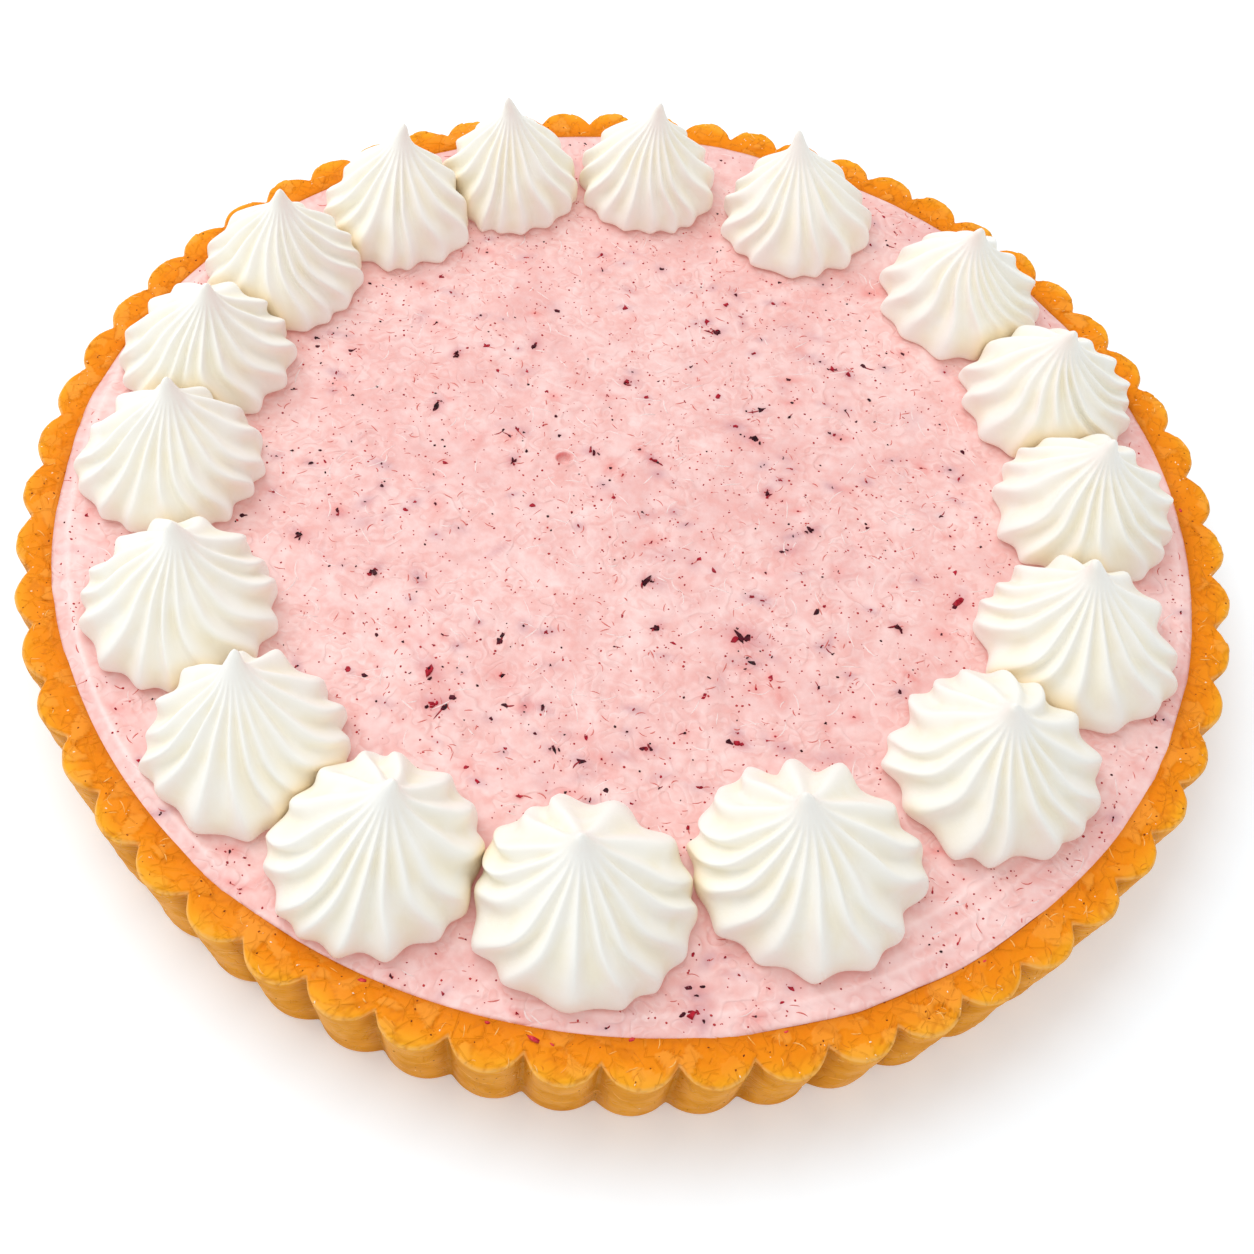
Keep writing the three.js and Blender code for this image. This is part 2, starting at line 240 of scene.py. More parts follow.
class Wiring:
    """Adds nodes to a tree and joins them, so that a finish reads as a recipe."""

    def __init__(self, tree: bpy.types.NodeTree) -> None:
        """Works on one tree."""
        self.tree = tree

    def node(self, kind: str, **settings: object) -> bpy.types.Node:
        """Adds a node and sets its options."""
        made = self.tree.nodes.new(kind)
        for name, value in settings.items():
            setattr(made, name, value)
        return made

    def feed(self, socket: bpy.types.NodeSocket, value: object) -> None:
        """Joins another socket to this one, or sets it to a constant."""
        if isinstance(value, bpy.types.NodeSocket):
            self.tree.links.new(value, socket)
        else:
            socket.default_value = value

    def math(self, operation: str, first: object, second: object = 0.0,
             third: object = 0.0) -> bpy.types.NodeSocket:
        """One sum on numbers."""
        made = self.node("ShaderNodeMath", operation=operation)
        for socket, value in zip(made.inputs, (first, second, third)):
            self.feed(socket, value)
        return made.outputs[0]

    def scaled(self, vector: object, scale: object) -> bpy.types.NodeSocket:
        """A vector times a number."""
        made = self.node("ShaderNodeVectorMath", operation="SCALE")
        self.feed(made.inputs[0], vector)
        self.feed(made.inputs["Scale"], scale)
        return made.outputs[0]

    def blend(self, share: object, first: object, second: object) -> bpy.types.NodeSocket:
        """A colour between two colours."""
        made = self.node("ShaderNodeMix", data_type="RGBA")
        self.feed(made.inputs[0], share)
        self.feed(made.inputs[6], first)
        self.feed(made.inputs[7], second)
        return made.outputs[2]

    def laid(self, base: object, mask: object, strength: float, code: int) -> bpy.types.NodeSocket:
        """A colour with another one laid over it, where a mask is and as strongly as told."""
        return self.blend(self.math("MULTIPLY", mask, strength), base, colour(code))

    def ranged(self, value: object, low: object, high: object, start: float = 0.0,
               end: float = 1.0) -> bpy.types.NodeSocket:
        """Maps low to start and high to end, smoothly, and holds the value there."""
        made = self.node("ShaderNodeMapRange", interpolation_type="SMOOTHSTEP")
        for socket, given in zip(made.inputs, (value, low, high, start, end)):
            self.feed(socket, given)
        return made.outputs[0]

    def stretched(self, vector: object, factors: tuple[float, float, float]) -> bpy.types.NodeSocket:
        """A vector with each of its parts times its own number."""
        made = self.node("ShaderNodeVectorMath", operation="MULTIPLY")
        self.feed(made.inputs[0], vector)
        self.feed(made.inputs[1], factors)
        return made.outputs[0]

    def noise(self, vector: object, scale: float, detail: float = 2.0) -> bpy.types.NodeSocket:
        """Smooth noise about 0.5."""
        made = self.node("ShaderNodeTexNoise")
        self.feed(made.inputs["Vector"], vector)
        self.feed(made.inputs["Scale"], scale)
        self.feed(made.inputs["Detail"], detail)
        return made.outputs[0]

    def place(self) -> bpy.types.NodeSocket:
        """The point of the surface, in the tart's own frame."""
        return self.node("ShaderNodeTexCoord").outputs["Object"]

    def drawn(self, name: str) -> bpy.types.NodeSocket:
        """A mask that the mesh carries."""
        return self.node("ShaderNodeAttribute", attribute_name=name).outputs["Fac"]

    def effect(self, kind: "Effect", **values: object) -> bpy.types.NodeSocket:
        """Places a shared effect with its own values, and gives its output."""
        made = self.node("ShaderNodeGroup", node_tree=kind.group())
        for name, value in values.items():
            self.feed(made.inputs[name], value)
        return made.outputs[0]

    def bump(self, height: object, distance: float) -> bpy.types.NodeSocket:
        """A normal from a height, of 1 at the given depth."""
        made = self.node("ShaderNodeBump")
        self.feed(made.inputs["Distance"], distance)
        self.feed(made.inputs["Height"], height)
        return made.outputs[0]


class Effect(Enum):
    """The effects that several finishes share, each a node group with one output.

    Each takes a place, a size, and the one setting that is its value here.
    """

    MOTTLE = "contrast"
    FOLDS = "layers"
    FACETS = "width"

    def group(self) -> bpy.types.NodeTree:
        """The node group of this effect, built the first time."""
        found = bpy.data.node_groups.get(self.name)
        if found:
            return found
        tree = bpy.data.node_groups.new(self.name, "ShaderNodeTree")
        for name, kind in (("place", "Vector"), ("size", "Float"), (self.value, "Float")):
            tree.interface.new_socket(name=name, in_out="INPUT", socket_type=f"NodeSocket{kind}")
        tree.interface.new_socket(name="mask", in_out="OUTPUT", socket_type="NodeSocketFloat")
        wires = Wiring(tree)
        given = wires.node("NodeGroupInput").outputs
        spot = wires.scaled(given["place"], wires.math("DIVIDE", 1.0, given["size"]))
        draw = {Effect.MOTTLE: self._mottle, Effect.FOLDS: self._folds, Effect.FACETS: self._facets}[self]
        wires.feed(wires.node("NodeGroupOutput").inputs[0], draw(wires, spot, given[self.value]))
        return tree

    @staticmethod
    def _mottle(wires: Wiring, spot: object, contrast: object) -> bpy.types.NodeSocket:
        """Soft patches from 0 to 1: a low contrast leaves them faint."""
        swing = wires.math("SUBTRACT", wires.noise(spot, 1.0), 0.5)
        return wires.math("MULTIPLY_ADD", swing, contrast, 0.5)

    @staticmethod
    def _folds(wires: Wiring, spot: object, layers: object) -> bpy.types.NodeSocket:
        """Layers that overlap: each rises slowly and breaks off at a curved edge that comes and goes."""
        ramp = wires.math("FRACT", wires.math("MULTIPLY", wires.noise(spot, 1.0, 1.0), layers))
        edge = wires.math("MULTIPLY", ramp, wires.ranged(ramp, 1.0, 0.68))
        where = wires.noise(wires.scaled(spot, 0.63), 1.0, 0.0)
        return wires.math("MULTIPLY", edge, wires.ranged(where, 0.4, 0.56))

    @staticmethod
    def _facets(wires: Wiring, spot: object, width: object) -> bpy.types.NodeSocket:
        """1 on the thin edges of uneven facets, which come and go. The width is a share of the size."""
        cells = wires.node("ShaderNodeTexVoronoi", feature="DISTANCE_TO_EDGE")
        wires.feed(cells.inputs["Vector"], spot)
        wires.feed(cells.inputs["Scale"], 1.0)
        edge = wires.ranged(cells.outputs["Distance"], width, 0.0)
        return wires.math("MULTIPLY", edge, wires.ranged(wires.noise(spot, 1.3, 0.0), 0.44, 0.54))


@dataclass(frozen=True)
class Finish:
    """What a piece is made of."""

    name: str
    roughness: float = 0.5
    specular: float = 0.5

    def material(self) -> bpy.types.Material:
        """The material of this finish, made the first time that it is asked for."""
        found = bpy.data.materials.get(self.name)
        if found:
            return found
        made = bpy.data.materials.new(self.name)
        made.use_nodes = True
        wires = Wiring(made.node_tree)
        shader = made.node_tree.nodes["Principled BSDF"]
        shader.inputs["Roughness"].default_value = self.roughness
        shader.inputs["Specular IOR Level"].default_value = self.specular
        self.dress(wires, shader.inputs)
        return made

    def dress(self, wires: Wiring, shader: object) -> None:
        """Joins colour, roughness and relief to the shader's sockets."""
        raise NotImplementedError


@dataclass(frozen=True)
class CrustFinish(Finish):
    """Golden short crust: orange where the oven caught the rim, yellower on the wall, with painted shade
    beside the cream and a painted highlight along the lip.
    """

    painted_lip_gold: int = 0xFFB828
    rim_orange: int = 0xF48E10
    mottle_and_shade_orange: int = 0xE67C0A
    rim_pale: int = 0xFFB04C
    crack_and_shadow_brown: int = 0xC86C10
    wall_tan: int = 0xEE9E0C
    wall_gold: int = 0xDA8A04
    groove_brown: int = 0xB06C04
    line_pale: int = 0xF2A41C
    painted_lip_line: int = 0xFFC878

    def dress(self, wires: Wiring, shader: object) -> None:
        """Joins colour, roughness and relief to the shader's sockets."""
        place = wires.place()
        patches = wires.effect(Effect.MOTTLE, place=place, size=7 * MM, contrast=2.6)
        crumb = wires.effect(Effect.MOTTLE, place=place, size=0.9 * MM, contrast=2.0)
        pressed = wires.effect(Effect.FACETS, place=place, size=6 * MM, width=0.05)
        chips = wires.effect(Effect.FACETS, place=wires.scaled(place, -1.0), size=3.2 * MM, width=0.08)
        facets = wires.math("MAXIMUM", pressed, chips)
        flat = wires.stretched(place, (1, 1, 4))
        layered = wires.effect(Effect.FOLDS, place=flat, size=9 * MM, layers=7.0)
        outward = wires.drawn("outward")
        # Darker towards the cream: painted shade beside the cream's edge.
        top = wires.blend(wires.ranged(outward, 0.0, 0.5), colour(self.mottle_and_shade_orange), colour(self.rim_orange))
        # Painted highlight: the outer part of the rim turns yellow-gold towards the lip.
        top = wires.blend(wires.ranged(outward, 0.45, 0.95, 0.0, 0.9), top, colour(self.painted_lip_gold))
        top = wires.laid(top, patches, 0.4, self.mottle_and_shade_orange)
        plate = wires.ranged(wires.drawn("plate"), 0.1, 1.0, 0.0, 0.34)
        top = wires.blend(plate, top, colour(self.rim_pale))
        top = wires.laid(top, facets, 0.15, self.crack_and_shadow_brown)
        # Painted shadow: a dark line along the rim's inner edge, where the cream stands over the crust.
        top = wires.laid(top, wires.ranged(outward, 0.16, 0.0), 0.6, self.crack_and_shadow_brown)
        wall = wires.blend(patches, colour(self.wall_tan), colour(self.wall_gold))
        wall = wires.laid(wall, layered, 0.35, self.line_pale)
        wall = wires.laid(wall, wires.drawn("groove"), 0.6, self.groove_brown)
        base = wires.blend(wires.drawn("rim"), wall, top)
        base = wires.laid(base, crumb, 0.12, self.line_pale)
        # Painted highlight: a pale line along the rounded lip.
        lip = wires.math("MULTIPLY", wires.drawn("lip"), wires.ranged(crumb, 0.0, 0.5, 0.4, 1.0))
        base = wires.laid(base, lip, 0.6, self.painted_lip_line)
        base = wires.laid(base, wires.drawn("crack"), 0.4, self.crack_and_shadow_brown)
        wires.feed(shader["Base Color"], base)
        wires.feed(shader["Roughness"], wires.ranged(patches, 0.2, 0.9, 0.42, 0.58))
        height = wires.math("MULTIPLY_ADD", facets, -1.0, wires.math("MULTIPLY", crumb, 0.3))
        height = wires.math("MULTIPLY_ADD", layered, 0.8, height)
        wires.feed(shader["Normal"], wires.bump(height, 0.13 * MM))


@dataclass(frozen=True)
class FillingFinish(Finish):
    """Pink strawberry cream in soft folds, with purple and red stains where juice ran out, and painted
    light: shade, highlights and a glow.
    """

    pink: int = 0xDEB6B4
    pale: int = 0xEED4D1
    mottle_and_crease_pink: int = 0xDA938B
    painted_ridge_pink: int = 0xF8E6E4
    purple_stain_and_shade: int = 0x9C6880
    red_stain_and_shade: int = 0xD8504A
    # Painted glow: the cream gives off a little warm light of its own, a stand-in for light passing through
    # it, which lightens its shadows.
    painted_inner_glow: int = 0xFFA094
    glow: float = 0.11

    def dress(self, wires: Wiring, shader: object) -> None:
        """Joins colour, roughness and relief to the shader's sockets."""
        place = wires.place()
        broad = wires.effect(Effect.MOTTLE, place=place, size=16 * MM, contrast=2.0)
        small = wires.effect(Effect.MOTTLE, place=place, size=2.6 * MM, contrast=2.6)
        wide = wires.effect(Effect.FOLDS, place=place, size=8 * MM, layers=6.0)
        fine = wires.effect(Effect.FOLDS, place=wires.scaled(place, -1.0), size=4.2 * MM, layers=5.0)
        base = wires.blend(broad, colour(self.pink), colour(self.pale))
        base = wires.laid(base, small, 0.45, self.mottle_and_crease_pink)
        base = wires.laid(base, wide, 0.7, self.pale)
        # Painted shade: the edges of the fine folds are tinted deeper pink, as their creases fall in shade.
        # The small patches above are the cream's own tone.
        base = wires.laid(base, fine, 0.45, self.mottle_and_crease_pink)
        # Painted highlight: the tops of the knife's ridges are painted paler.
        base = wires.blend(wires.drawn("ridge_highlight"), base, colour(self.painted_ridge_pink))
        # The stain masks hold juice stains and also the painted shade on the dimple's wall.
        base = wires.laid(base, wires.drawn("stain"), 0.62, self.purple_stain_and_shade)
        base = wires.laid(base, wires.drawn("warm_stain_and_shade"), 0.6, self.red_stain_and_shade)
        wires.feed(shader["Base Color"], base)
        wires.feed(shader["Roughness"], wires.ranged(small, 0.2, 0.8, 0.34, 0.5))
        # The painted inner glow: a warm emission that lifts the cream's shadows, though the cream is no
        # lamp.
        wires.feed(shader["Emission Color"], colour(self.painted_inner_glow))
        wires.feed(shader["Emission Strength"], self.glow)
        height = wires.math("ADD", wide, wires.math("MULTIPLY", fine, 0.6))
        height = wires.math("MULTIPLY_ADD", small, 0.5, height)
        wires.feed(shader["Normal"], wires.bump(height, 0.19 * MM))


@dataclass(frozen=True)
class CreamFinish(Finish):
    """Piped whipped cream: white on the ridges, with painted shade in the grooves and a painted warm glow
    where kisses touch and at their foot.
    """

    white: int = 0xFCFBF5
    painted_groove_shade: int = 0xF8F2DF
    painted_touch_glow: int = 0xFFEBC6

    def dress(self, wires: Wiring, shader: object) -> None:
        """Joins colour, roughness and relief to the shader's sockets."""
        place = wires.place()
        patches = wires.effect(Effect.MOTTLE, place=place, size=8 * MM, contrast=2.0)
        # Painted shade: the troughs between the ridges are painted a warmer, darker cream.
        depth = wires.math("MULTIPLY", wires.drawn("groove"), wires.ranged(patches, 0.1, 0.9, 0.3, 1.0))
        base = wires.blend(depth, colour(self.white), colour(self.painted_groove_shade))
        # Painted warm glow in the shaded creases where kisses touch and along their foot.
        base = wires.blend(wires.drawn("touch"), base, colour(self.painted_touch_glow))
        wires.feed(shader["Base Color"], base)
        wires.feed(shader["Roughness"], wires.ranged(patches, 0.2, 0.8, 0.42, 0.55))
        wires.feed(shader["Normal"], wires.bump(wires.noise(place, 1 / (0.8 * MM), 1.0), 0.035 * MM))


@dataclass(frozen=True)
class BitFinish(Finish):
    """A small bit in two tones."""

    main: int = 0x2A0F1C
    second: int = 0x5A1226
    patch: float = 1.2 * MM

    def dress(self, wires: Wiring, shader: object) -> None:
        """Joins colour and relief to the shader's sockets."""
        place = wires.place()
        patches = wires.effect(Effect.MOTTLE, place=place, size=self.patch, contrast=3.0)
        wires.feed(shader["Base Color"], wires.blend(patches, colour(self.main), colour(self.second)))
        wires.feed(shader["Normal"], wires.bump(wires.noise(place, 1 / (0.6 * MM)), 0.1 * MM))


@dataclass(frozen=True)
class GroundFinish(Finish):
    """Plain white ground, lit a little from within, as on a light table."""

    tint: tuple[float, float, float, float] = (0.84, 0.91, 0.96, 1.0)
    glow: float = 0.22

    def dress(self, wires: Wiring, shader: object) -> None:
        """Sets the one colour: a cool white, which takes the crust's orange light as a plain shadow."""
        shader["Base Color"].default_value = self.tint
        shader["Emission Color"].default_value = (1.0, 1.0, 1.0, 1.0)
        shader["Emission Strength"].default_value = self.glow


# ------------------------------------------------------------------ small bits


class Bit(Enum):
    """The kinds of small bits on the tart."""

    CURL = ("pale_curls", BitFinish("pale curl", 0.45, 0.2, 0xF8AA3C, 0xFDC878))
    CRACK = ("brown_cracks", BitFinish("brown crack", 0.5, 0.1, 0xD67A10, 0xE69024))
    PORE = ("brown_pores", BitFinish("brown pore", 0.6, 0.2, 0x6A2C08, 0xA04C0C))
    CRUMB = ("pale_crumbs", BitFinish("pale crumb", 0.5, 0.3, 0xFFF3DC, 0xFFE2B0), True)
    JUICE = ("juice_spots", BitFinish("juice spot", 0.3, 0.3, 0xC81C38, 0xE84848))
    DARK = ("dark_fruit", BitFinish("dark fruit", 0.45, 0.15, 0x1C0810, 0x5C0E22), True)
    RED = ("red_fruit", BitFinish("red fruit", 0.4, 0.2, 0xB80E2C, 0x8A0A20), True)
    SEED = ("black_seeds", BitFinish("seed", 0.45, 0.15, 0x1A0A0E, 0x4A1418))
    DOT = ("red_dots", BitFinish("red dot", 0.5, 0.2, 0xC63636, 0x9C2230, patch=4 * MM))
    THREAD = ("red_threads", BitFinish("red thread", 0.4, 0.2, 0xD4605A, 0xE08A82))
    TAIL = ("dark_threads", BitFinish("dark thread", 0.4, 0.2, 0x7A1624, 0xB8303C))
    WISP = ("pale_wisps", BitFinish("pale wisp", 0.4, 0.3, 0xF8E0DD, 0xF2D2CE))

    def __init__(self, piece: str, finish: Finish, angular: bool = False) -> None:
        """Keeps the traits of a kind.

        Args:
            piece: Name of the piece that the bits of this kind are gathered into.
            finish: What they are made of.
            angular: Whether their faces are shaded flat.
        """
        self.piece = piece
        self.finish = finish
        self.angular = angular


@dataclass(frozen=True)
class StrandSort:
    """Strands that differ only in what is drawn at random. Lengths and widths are in millimetres.

    The band is where they lie, as shares of the rim's width or the wall's height.
    """

    kind: Bit
    count: int
    length: tuple[float, float]
    width: tuple[float, float]
    bend: float
    rise: float
    band: tuple[float, float] = (0.0, 1.0)


@dataclass(frozen=True)
class ChipSort:
    """Chips that differ only in what is drawn at random. Lengths and thickness are in millimetres.

    The width is a share of the length, and the band is where they lie, as for the strands.
    """

    kind: Bit
    count: int
    length: tuple[float, float]
    width: float
    thickness: float
    sink: float = 0.55
    band: tuple[float, float] = (0.0, 1.0)


def any_way(random: RandomStream) -> float:
    """A way to point, all round."""
    return TURN * random()


def level_way(random: RandomStream, slant: float) -> float:
    """A way to point, left or right and up to a slant off the level."""
    return random.between(-slant, slant) + math.pi * (random() < 0.5)


class Skin:
    """The outside of a form, which small bits are laid on."""

    def __init__(self, form: bmesh.types.BMesh) -> None:
        """Keeps the form's surface as it is now."""
        self.tree = BVHTree.FromBMesh(form)

    def under(self, x: float, y: float) -> "Spot":
        """The spot seen from straight above a place."""
        point, normal, _, _ = self.tree.ray_cast(Vector((x, y, 1)), -UP)
        return Spot(point, normal)

    def beside(self, angle: float, level: float) -> "Spot":
        """The spot seen from the side, at an angle about the axis and a level."""
        way = Vector((math.cos(angle), math.sin(angle), 0))
        point, normal, _, _ = self.tree.ray_cast(way + UP * level, -way)
        return Spot(point, normal)

    def near(self, place: Vector) -> "Spot":
        """The spot nearest to a place."""
        point, normal, _, _ = self.tree.find_nearest(place)
        return Spot(point, normal)


@dataclass(frozen=True)
class Spot:
    """A point of a surface, and the way out of the surface there."""

    point: Vector
    normal: Vector

    def turned(self, turn: float) -> Matrix:
        """Axes on this spot: Z points out, and X is turned by an angle in the surface."""
        lying = self.normal.to_track_quat("Z", "Y").to_matrix().to_4x4()
        return Matrix.Translation(self.point) @ lying @ Matrix.Rotation(turn, 4, "Z")


@dataclass
class Scatter:
    """Small bits laid on a skin. Those of one kind are gathered into one piece."""

    skin: Skin
    forms: dict[Bit, bmesh.types.BMesh] = field(default_factory=dict)

    def gather(self, kind: Bit, bit: bmesh.types.BMesh) -> None:
        """Adds a finished bit to the others of its kind."""
        bmesh.ops.recalc_face_normals(bit, faces=bit.faces)
        loose = bpy.data.meshes.new("bit")
        bit.to_mesh(loose)
        bit.free()
        if kind not in self.forms:
            self.forms[kind] = bmesh.new()
        self.forms[kind].from_mesh(loose)
        bpy.data.meshes.remove(loose)

    def chip(self, kind: Bit, spot: Spot, size: Vector, turn: float, random: RandomStream,
             sink: float = 0.55) -> None:
        """Adds one rough round chip.

        Args:
            kind: What it is.
            spot: Where it lies.
            size: Length, width and thickness.
            turn: Turn in the surface, in radians.
            random: The stream that its roughness is drawn from.
            sink: How much of the thickness is below the surface, from 0 to 1.
        """
        chip = bmesh.new()
        bmesh.ops.create_icosphere(chip, subdivisions=1, radius=0.5)
        for vertex in chip.verts:
            vertex.co *= random.between(0.72, 1.12)
        bmesh.ops.scale(chip, verts=chip.verts, vec=size)
        bmesh.ops.translate(chip, verts=chip.verts, vec=UP * size.z * (0.5 - sink))
        bmesh.ops.transform(chip, matrix=spot.turned(turn), verts=chip.verts)
        self.gather(kind, chip)

    def flake(self, kind: Bit, spot: Spot, size: Vector, turn: float, random: RandomStream) -> None:
        """Adds one angular flake with a ragged outline, half sunk.

        Args:
            kind: What it is.
            spot: Where it lies.
            size: Length, width and thickness.
            turn: Turn in the surface, in radians.
            random: The stream that its outline is drawn from.
        """
        flake = bmesh.new()
        corners = bmesh.ops.create_circle(flake, cap_ends=True, segments=7, radius=0.5)["verts"]
        for vertex in corners:
            vertex.co *= random.between(0.35, 1.15)
        raised = bmesh.ops.extrude_face_region(flake, geom=flake.faces[:])["geom"]
        for vertex in (item for item in raised if isinstance(item, bmesh.types.BMVert)):
            vertex.co *= random.between(0.5, 0.95)
            vertex.co.z = random.between(0.45, 1.0)
        bmesh.ops.translate(flake, verts=flake.verts, vec=UP * -0.5)
        bmesh.ops.scale(flake, verts=flake.verts, vec=size)
        bmesh.ops.triangulate(flake, faces=flake.faces)
        bmesh.ops.transform(flake, matrix=spot.turned(turn), verts=flake.verts)
        self.gather(kind, flake)

    def strand(self, kind: Bit, spot: Spot, length: float, width: float, turn: float, bend: float,
               rise: float) -> None:
        """Adds one thin curved strand, which follows the surface.

        Args:
            kind: What it is.
            spot: Where it starts.
            length: Its length along the curve.
            width: Its thickness in the middle.
            turn: Where it points at first, in radians.
            bend: How far it turns on its way, in radians.
            rise: How far its middle is above the surface, as a share of the thickness.
        """
        along = spot.turned(turn).to_3x3() @ Vector((1, 0, 0))
        steps = max(5, round(length / (0.9 * MM)))
        path = []
        for _ in range(steps + 1):
            path.append(spot)
            spot = self.skin.near(spot.point + along * length / steps)
            along = Matrix.Rotation(bend / steps, 3, spot.normal) @ along
            along = (along - spot.normal * along.dot(spot.normal)).normalized()
        self.ribbon(kind, path, width, rise)

    def ribbon(self, kind: Bit, path: list[Spot], width: float, rise: float) -> None:
        """Adds one strand along a path, thin at both ends."""
        strand = bmesh.new()
        corners = 4
        last = len(path) - 1
        loops = []
        for step, spot in enumerate(path):
            before, after = path[max(step - 1, 0)].point, path[min(step + 1, last)].point
            side = spot.normal.cross(after - before).normalized()
            thick = width / 2 * mixed(0.2, 1.0, math.sin(math.pi * step / last) ** 0.6)
            middle = spot.point + spot.normal * thick * 2 * rise
            turns = [TURN * corner / corners for corner in range(corners)]
            ring = [strand.verts.new(middle + (side * math.cos(turn) + spot.normal * math.sin(turn)) * thick)
                    for turn in turns]
            loops.append([strand.edges.new(pair) for pair in zip(ring, ring[1:] + ring[:1])])
        for first, second in zip(loops, loops[1:]):
            bmesh.ops.bridge_loops(strand, edges=first + second)
        for end in (loops[0], loops[-1]):
            bmesh.ops.contextual_create(strand, geom=end)
        self.gather(kind, strand)

    def sorted_strand(self, sort: StrandSort, spot: Spot, heading: Callable[[RandomStream], float],
                      random: RandomStream) -> None:
        """Adds one strand of a sort. The heading draws where it points."""
        self.strand(sort.kind, spot, random.between(*sort.length) * MM, random.between(*sort.width) * MM,
                    heading(random), random.between(-sort.bend, sort.bend), sort.rise)

    def sorted_chip(self, sort: ChipSort, spot: Spot, length: float, random: RandomStream) -> None:
        """Adds one chip of a sort, turned any way."""
        size = Vector((length, sort.width * length, sort.thickness * MM))
        self.chip(sort.kind, spot, size, any_way(random), random, sort.sink)

    def publish(self, slot: str) -> None:
        """Turns what is gathered into pieces."""
        for kind, form in self.forms.items():
            published(kind.piece, form, kind.finish, smooth=not kind.angular)


# ------------------------------------------------------------------ the crust


@dataclass
class CrustShell:
    """The fluted shell: floor, leaning wall with round flutes, and a baked rim with flat spots.

    The plates' step, the cracks' depth and the rim's swell are in millimetres.
    """

    height: float
    floor_height: float = 4.5 * MM
    groove_radius_top: float = 134.5 * MM
    groove_radius_foot: float = 132.6 * MM
    cream_radius: float = 129 * MM
    inner_foot_radius: float = 126.5 * MM
    hidden_radius: float = 118 * MM
    flutes: int = 59
    flute_depth_top: float = 4 * MM
    flute_depth_foot: float = 2.2 * MM
    depth_sideways: float = 0.4 * MM
    depth_endways: float = 0.9 * MM
    groove_softness: float = 0.06
    first_groove: float = math.radians(-7.4)
    lip_rounding: float = 0.8 * MM
    unevenness: float = 0.35 * MM
    plate_size: float = 3.8 * MM
    plate_step: float = 0.13
    crack_depth: float = 0.14
    rim_swell: float = 0.35
    steps_a_flute: int = 30
    wall_rows: int = 17
    rim_rows: int = 19
    finish: Finish = field(default_factory=lambda: CrustFinish("baked crust", specular=0.08))

    def profile(self) -> list[Vector]:
        """The shell's section, from under the floor over the rim to the top of the floor."""
        rounding = self.lip_rounding
        foot = self.groove_radius_foot
        lean = (self.groove_radius_top - foot) / (self.height - rounding)
        points = [(self.hidden_radius, 0.0), (foot - 0.8 * MM, 0.0), (foot - 0.2 * MM, 0.25 * MM)]
        low, high = 0.9 * MM, self.height - rounding
        for row in range(self.wall_rows + 1):
            level = mixed(low, high, row / self.wall_rows)
            points.append((foot + lean * level, level))
        shoulder = self.groove_radius_top - rounding
        corner = 5
        for step in range(1, corner + 1):
            turn = math.pi / 2 * step / corner
            points.append((shoulder + rounding * math.cos(turn), high + rounding * math.sin(turn)))
        for row in range(1, self.rim_rows + 1):
            share = row / self.rim_rows
            points.append((mixed(shoulder, self.cream_radius, share), self.height - 0.2 * MM * share))
        points.append((self.cream_radius - 0.4 * MM, self.height - 1.2 * MM))
        points.append((self.inner_foot_radius, self.floor_height))
        points.append((self.hidden_radius, self.floor_height))
        return [Vector((radius, 0, level)) for radius, level in points]

    def drifted(self, angle: float) -> float:
        """The flutes are not quite evenly wide: their angle drifts by up to a few degrees."""
        drift = 2.7 * math.cos(angle) + 1.1 * math.cos(2 * angle - math.radians(107))
        return angle + math.radians(drift)

    def flute(self, angle: float, level: float) -> tuple[float, float]:
        """How far the wall stands out at an angle.

        Args:
            angle: Angle about the axis, before the drift.
            level: Height over the underside.

        Returns:
            The bulge over the bottom of the grooves, and the distance from the nearest groove as a
            share of half a flute.
        """
        depth = self.flute_depth_top + self.depth_sideways * math.cos(angle)
        depth -= self.depth_endways * math.cos(2 * angle)
        depth *= mixed(self.flute_depth_foot / self.flute_depth_top, 1.0, level / self.height)
        count = (angle - self.first_groove) / TURN * self.flutes
        half = math.pi * self.groove_radius_top / self.flutes
        from_groove = 1 - abs(2 * (count - math.floor(count)) - 1)
        soft = self.groove_softness
        across = half * (1 - (math.hypot(from_groove, soft) - soft) / (math.hypot(1.0, soft) - soft))
        arc = (half * half + depth * depth) / (2 * depth)
        return math.sqrt(arc * arc - across * across) - (arc - depth), from_groove

    def pressed(self, place: Vector, outward: float) -> tuple[float, float, float]:
        """The rim's relief of flat spots, cracks between them and a broad swell.

        Args:
            place: A point of the rim.
            outward: How far out on the rim it is, from 0 at the cream to 1 at the lip.

        Returns:
            The relief's height, the flat spot's level from -1 to 1, and the strength of a crack.
        """
        calm = smoothstep(outward, 0.0, 0.18)
        step, edge = plates(place, self.plate_size, 1.5)
        crack = (1 - smoothstep(edge, 0.0, 0.14)) * calm
        crack *= smoothstep(wrinkle(place, 5 * MM, 4.0), -0.15, 0.15)
        relief = calm * (0.22 * wrinkle(place, 9 * MM, 2.0) + 0.07 * wrinkle(place, 3 * MM, 3.0))
        relief += self.plate_step * step * calm - self.crack_depth * crack
        relief += self.rim_swell * smoothstep(outward, 0.0, 0.4) * (1 - smoothstep(outward, 0.75, 1.0))
        return relief * MM, step, crack

    def swollen(self, place: Vector) -> float:
        """How far the baked wall stands out at a place over its flutes, in waves that are partly flat."""
        swell = 0.30 * wrinkle(place, 10 * MM, 5.0) + 0.14 * wrinkle(place, 2.6 * MM, 6.0)
        swell += 0.16 * wrinkle(Vector((place.x, place.y, 4 * place.z)), 9 * MM, 8.0)
        return swell * MM * smoothstep(place.z, 0.3 * MM, 2.5 * MM)

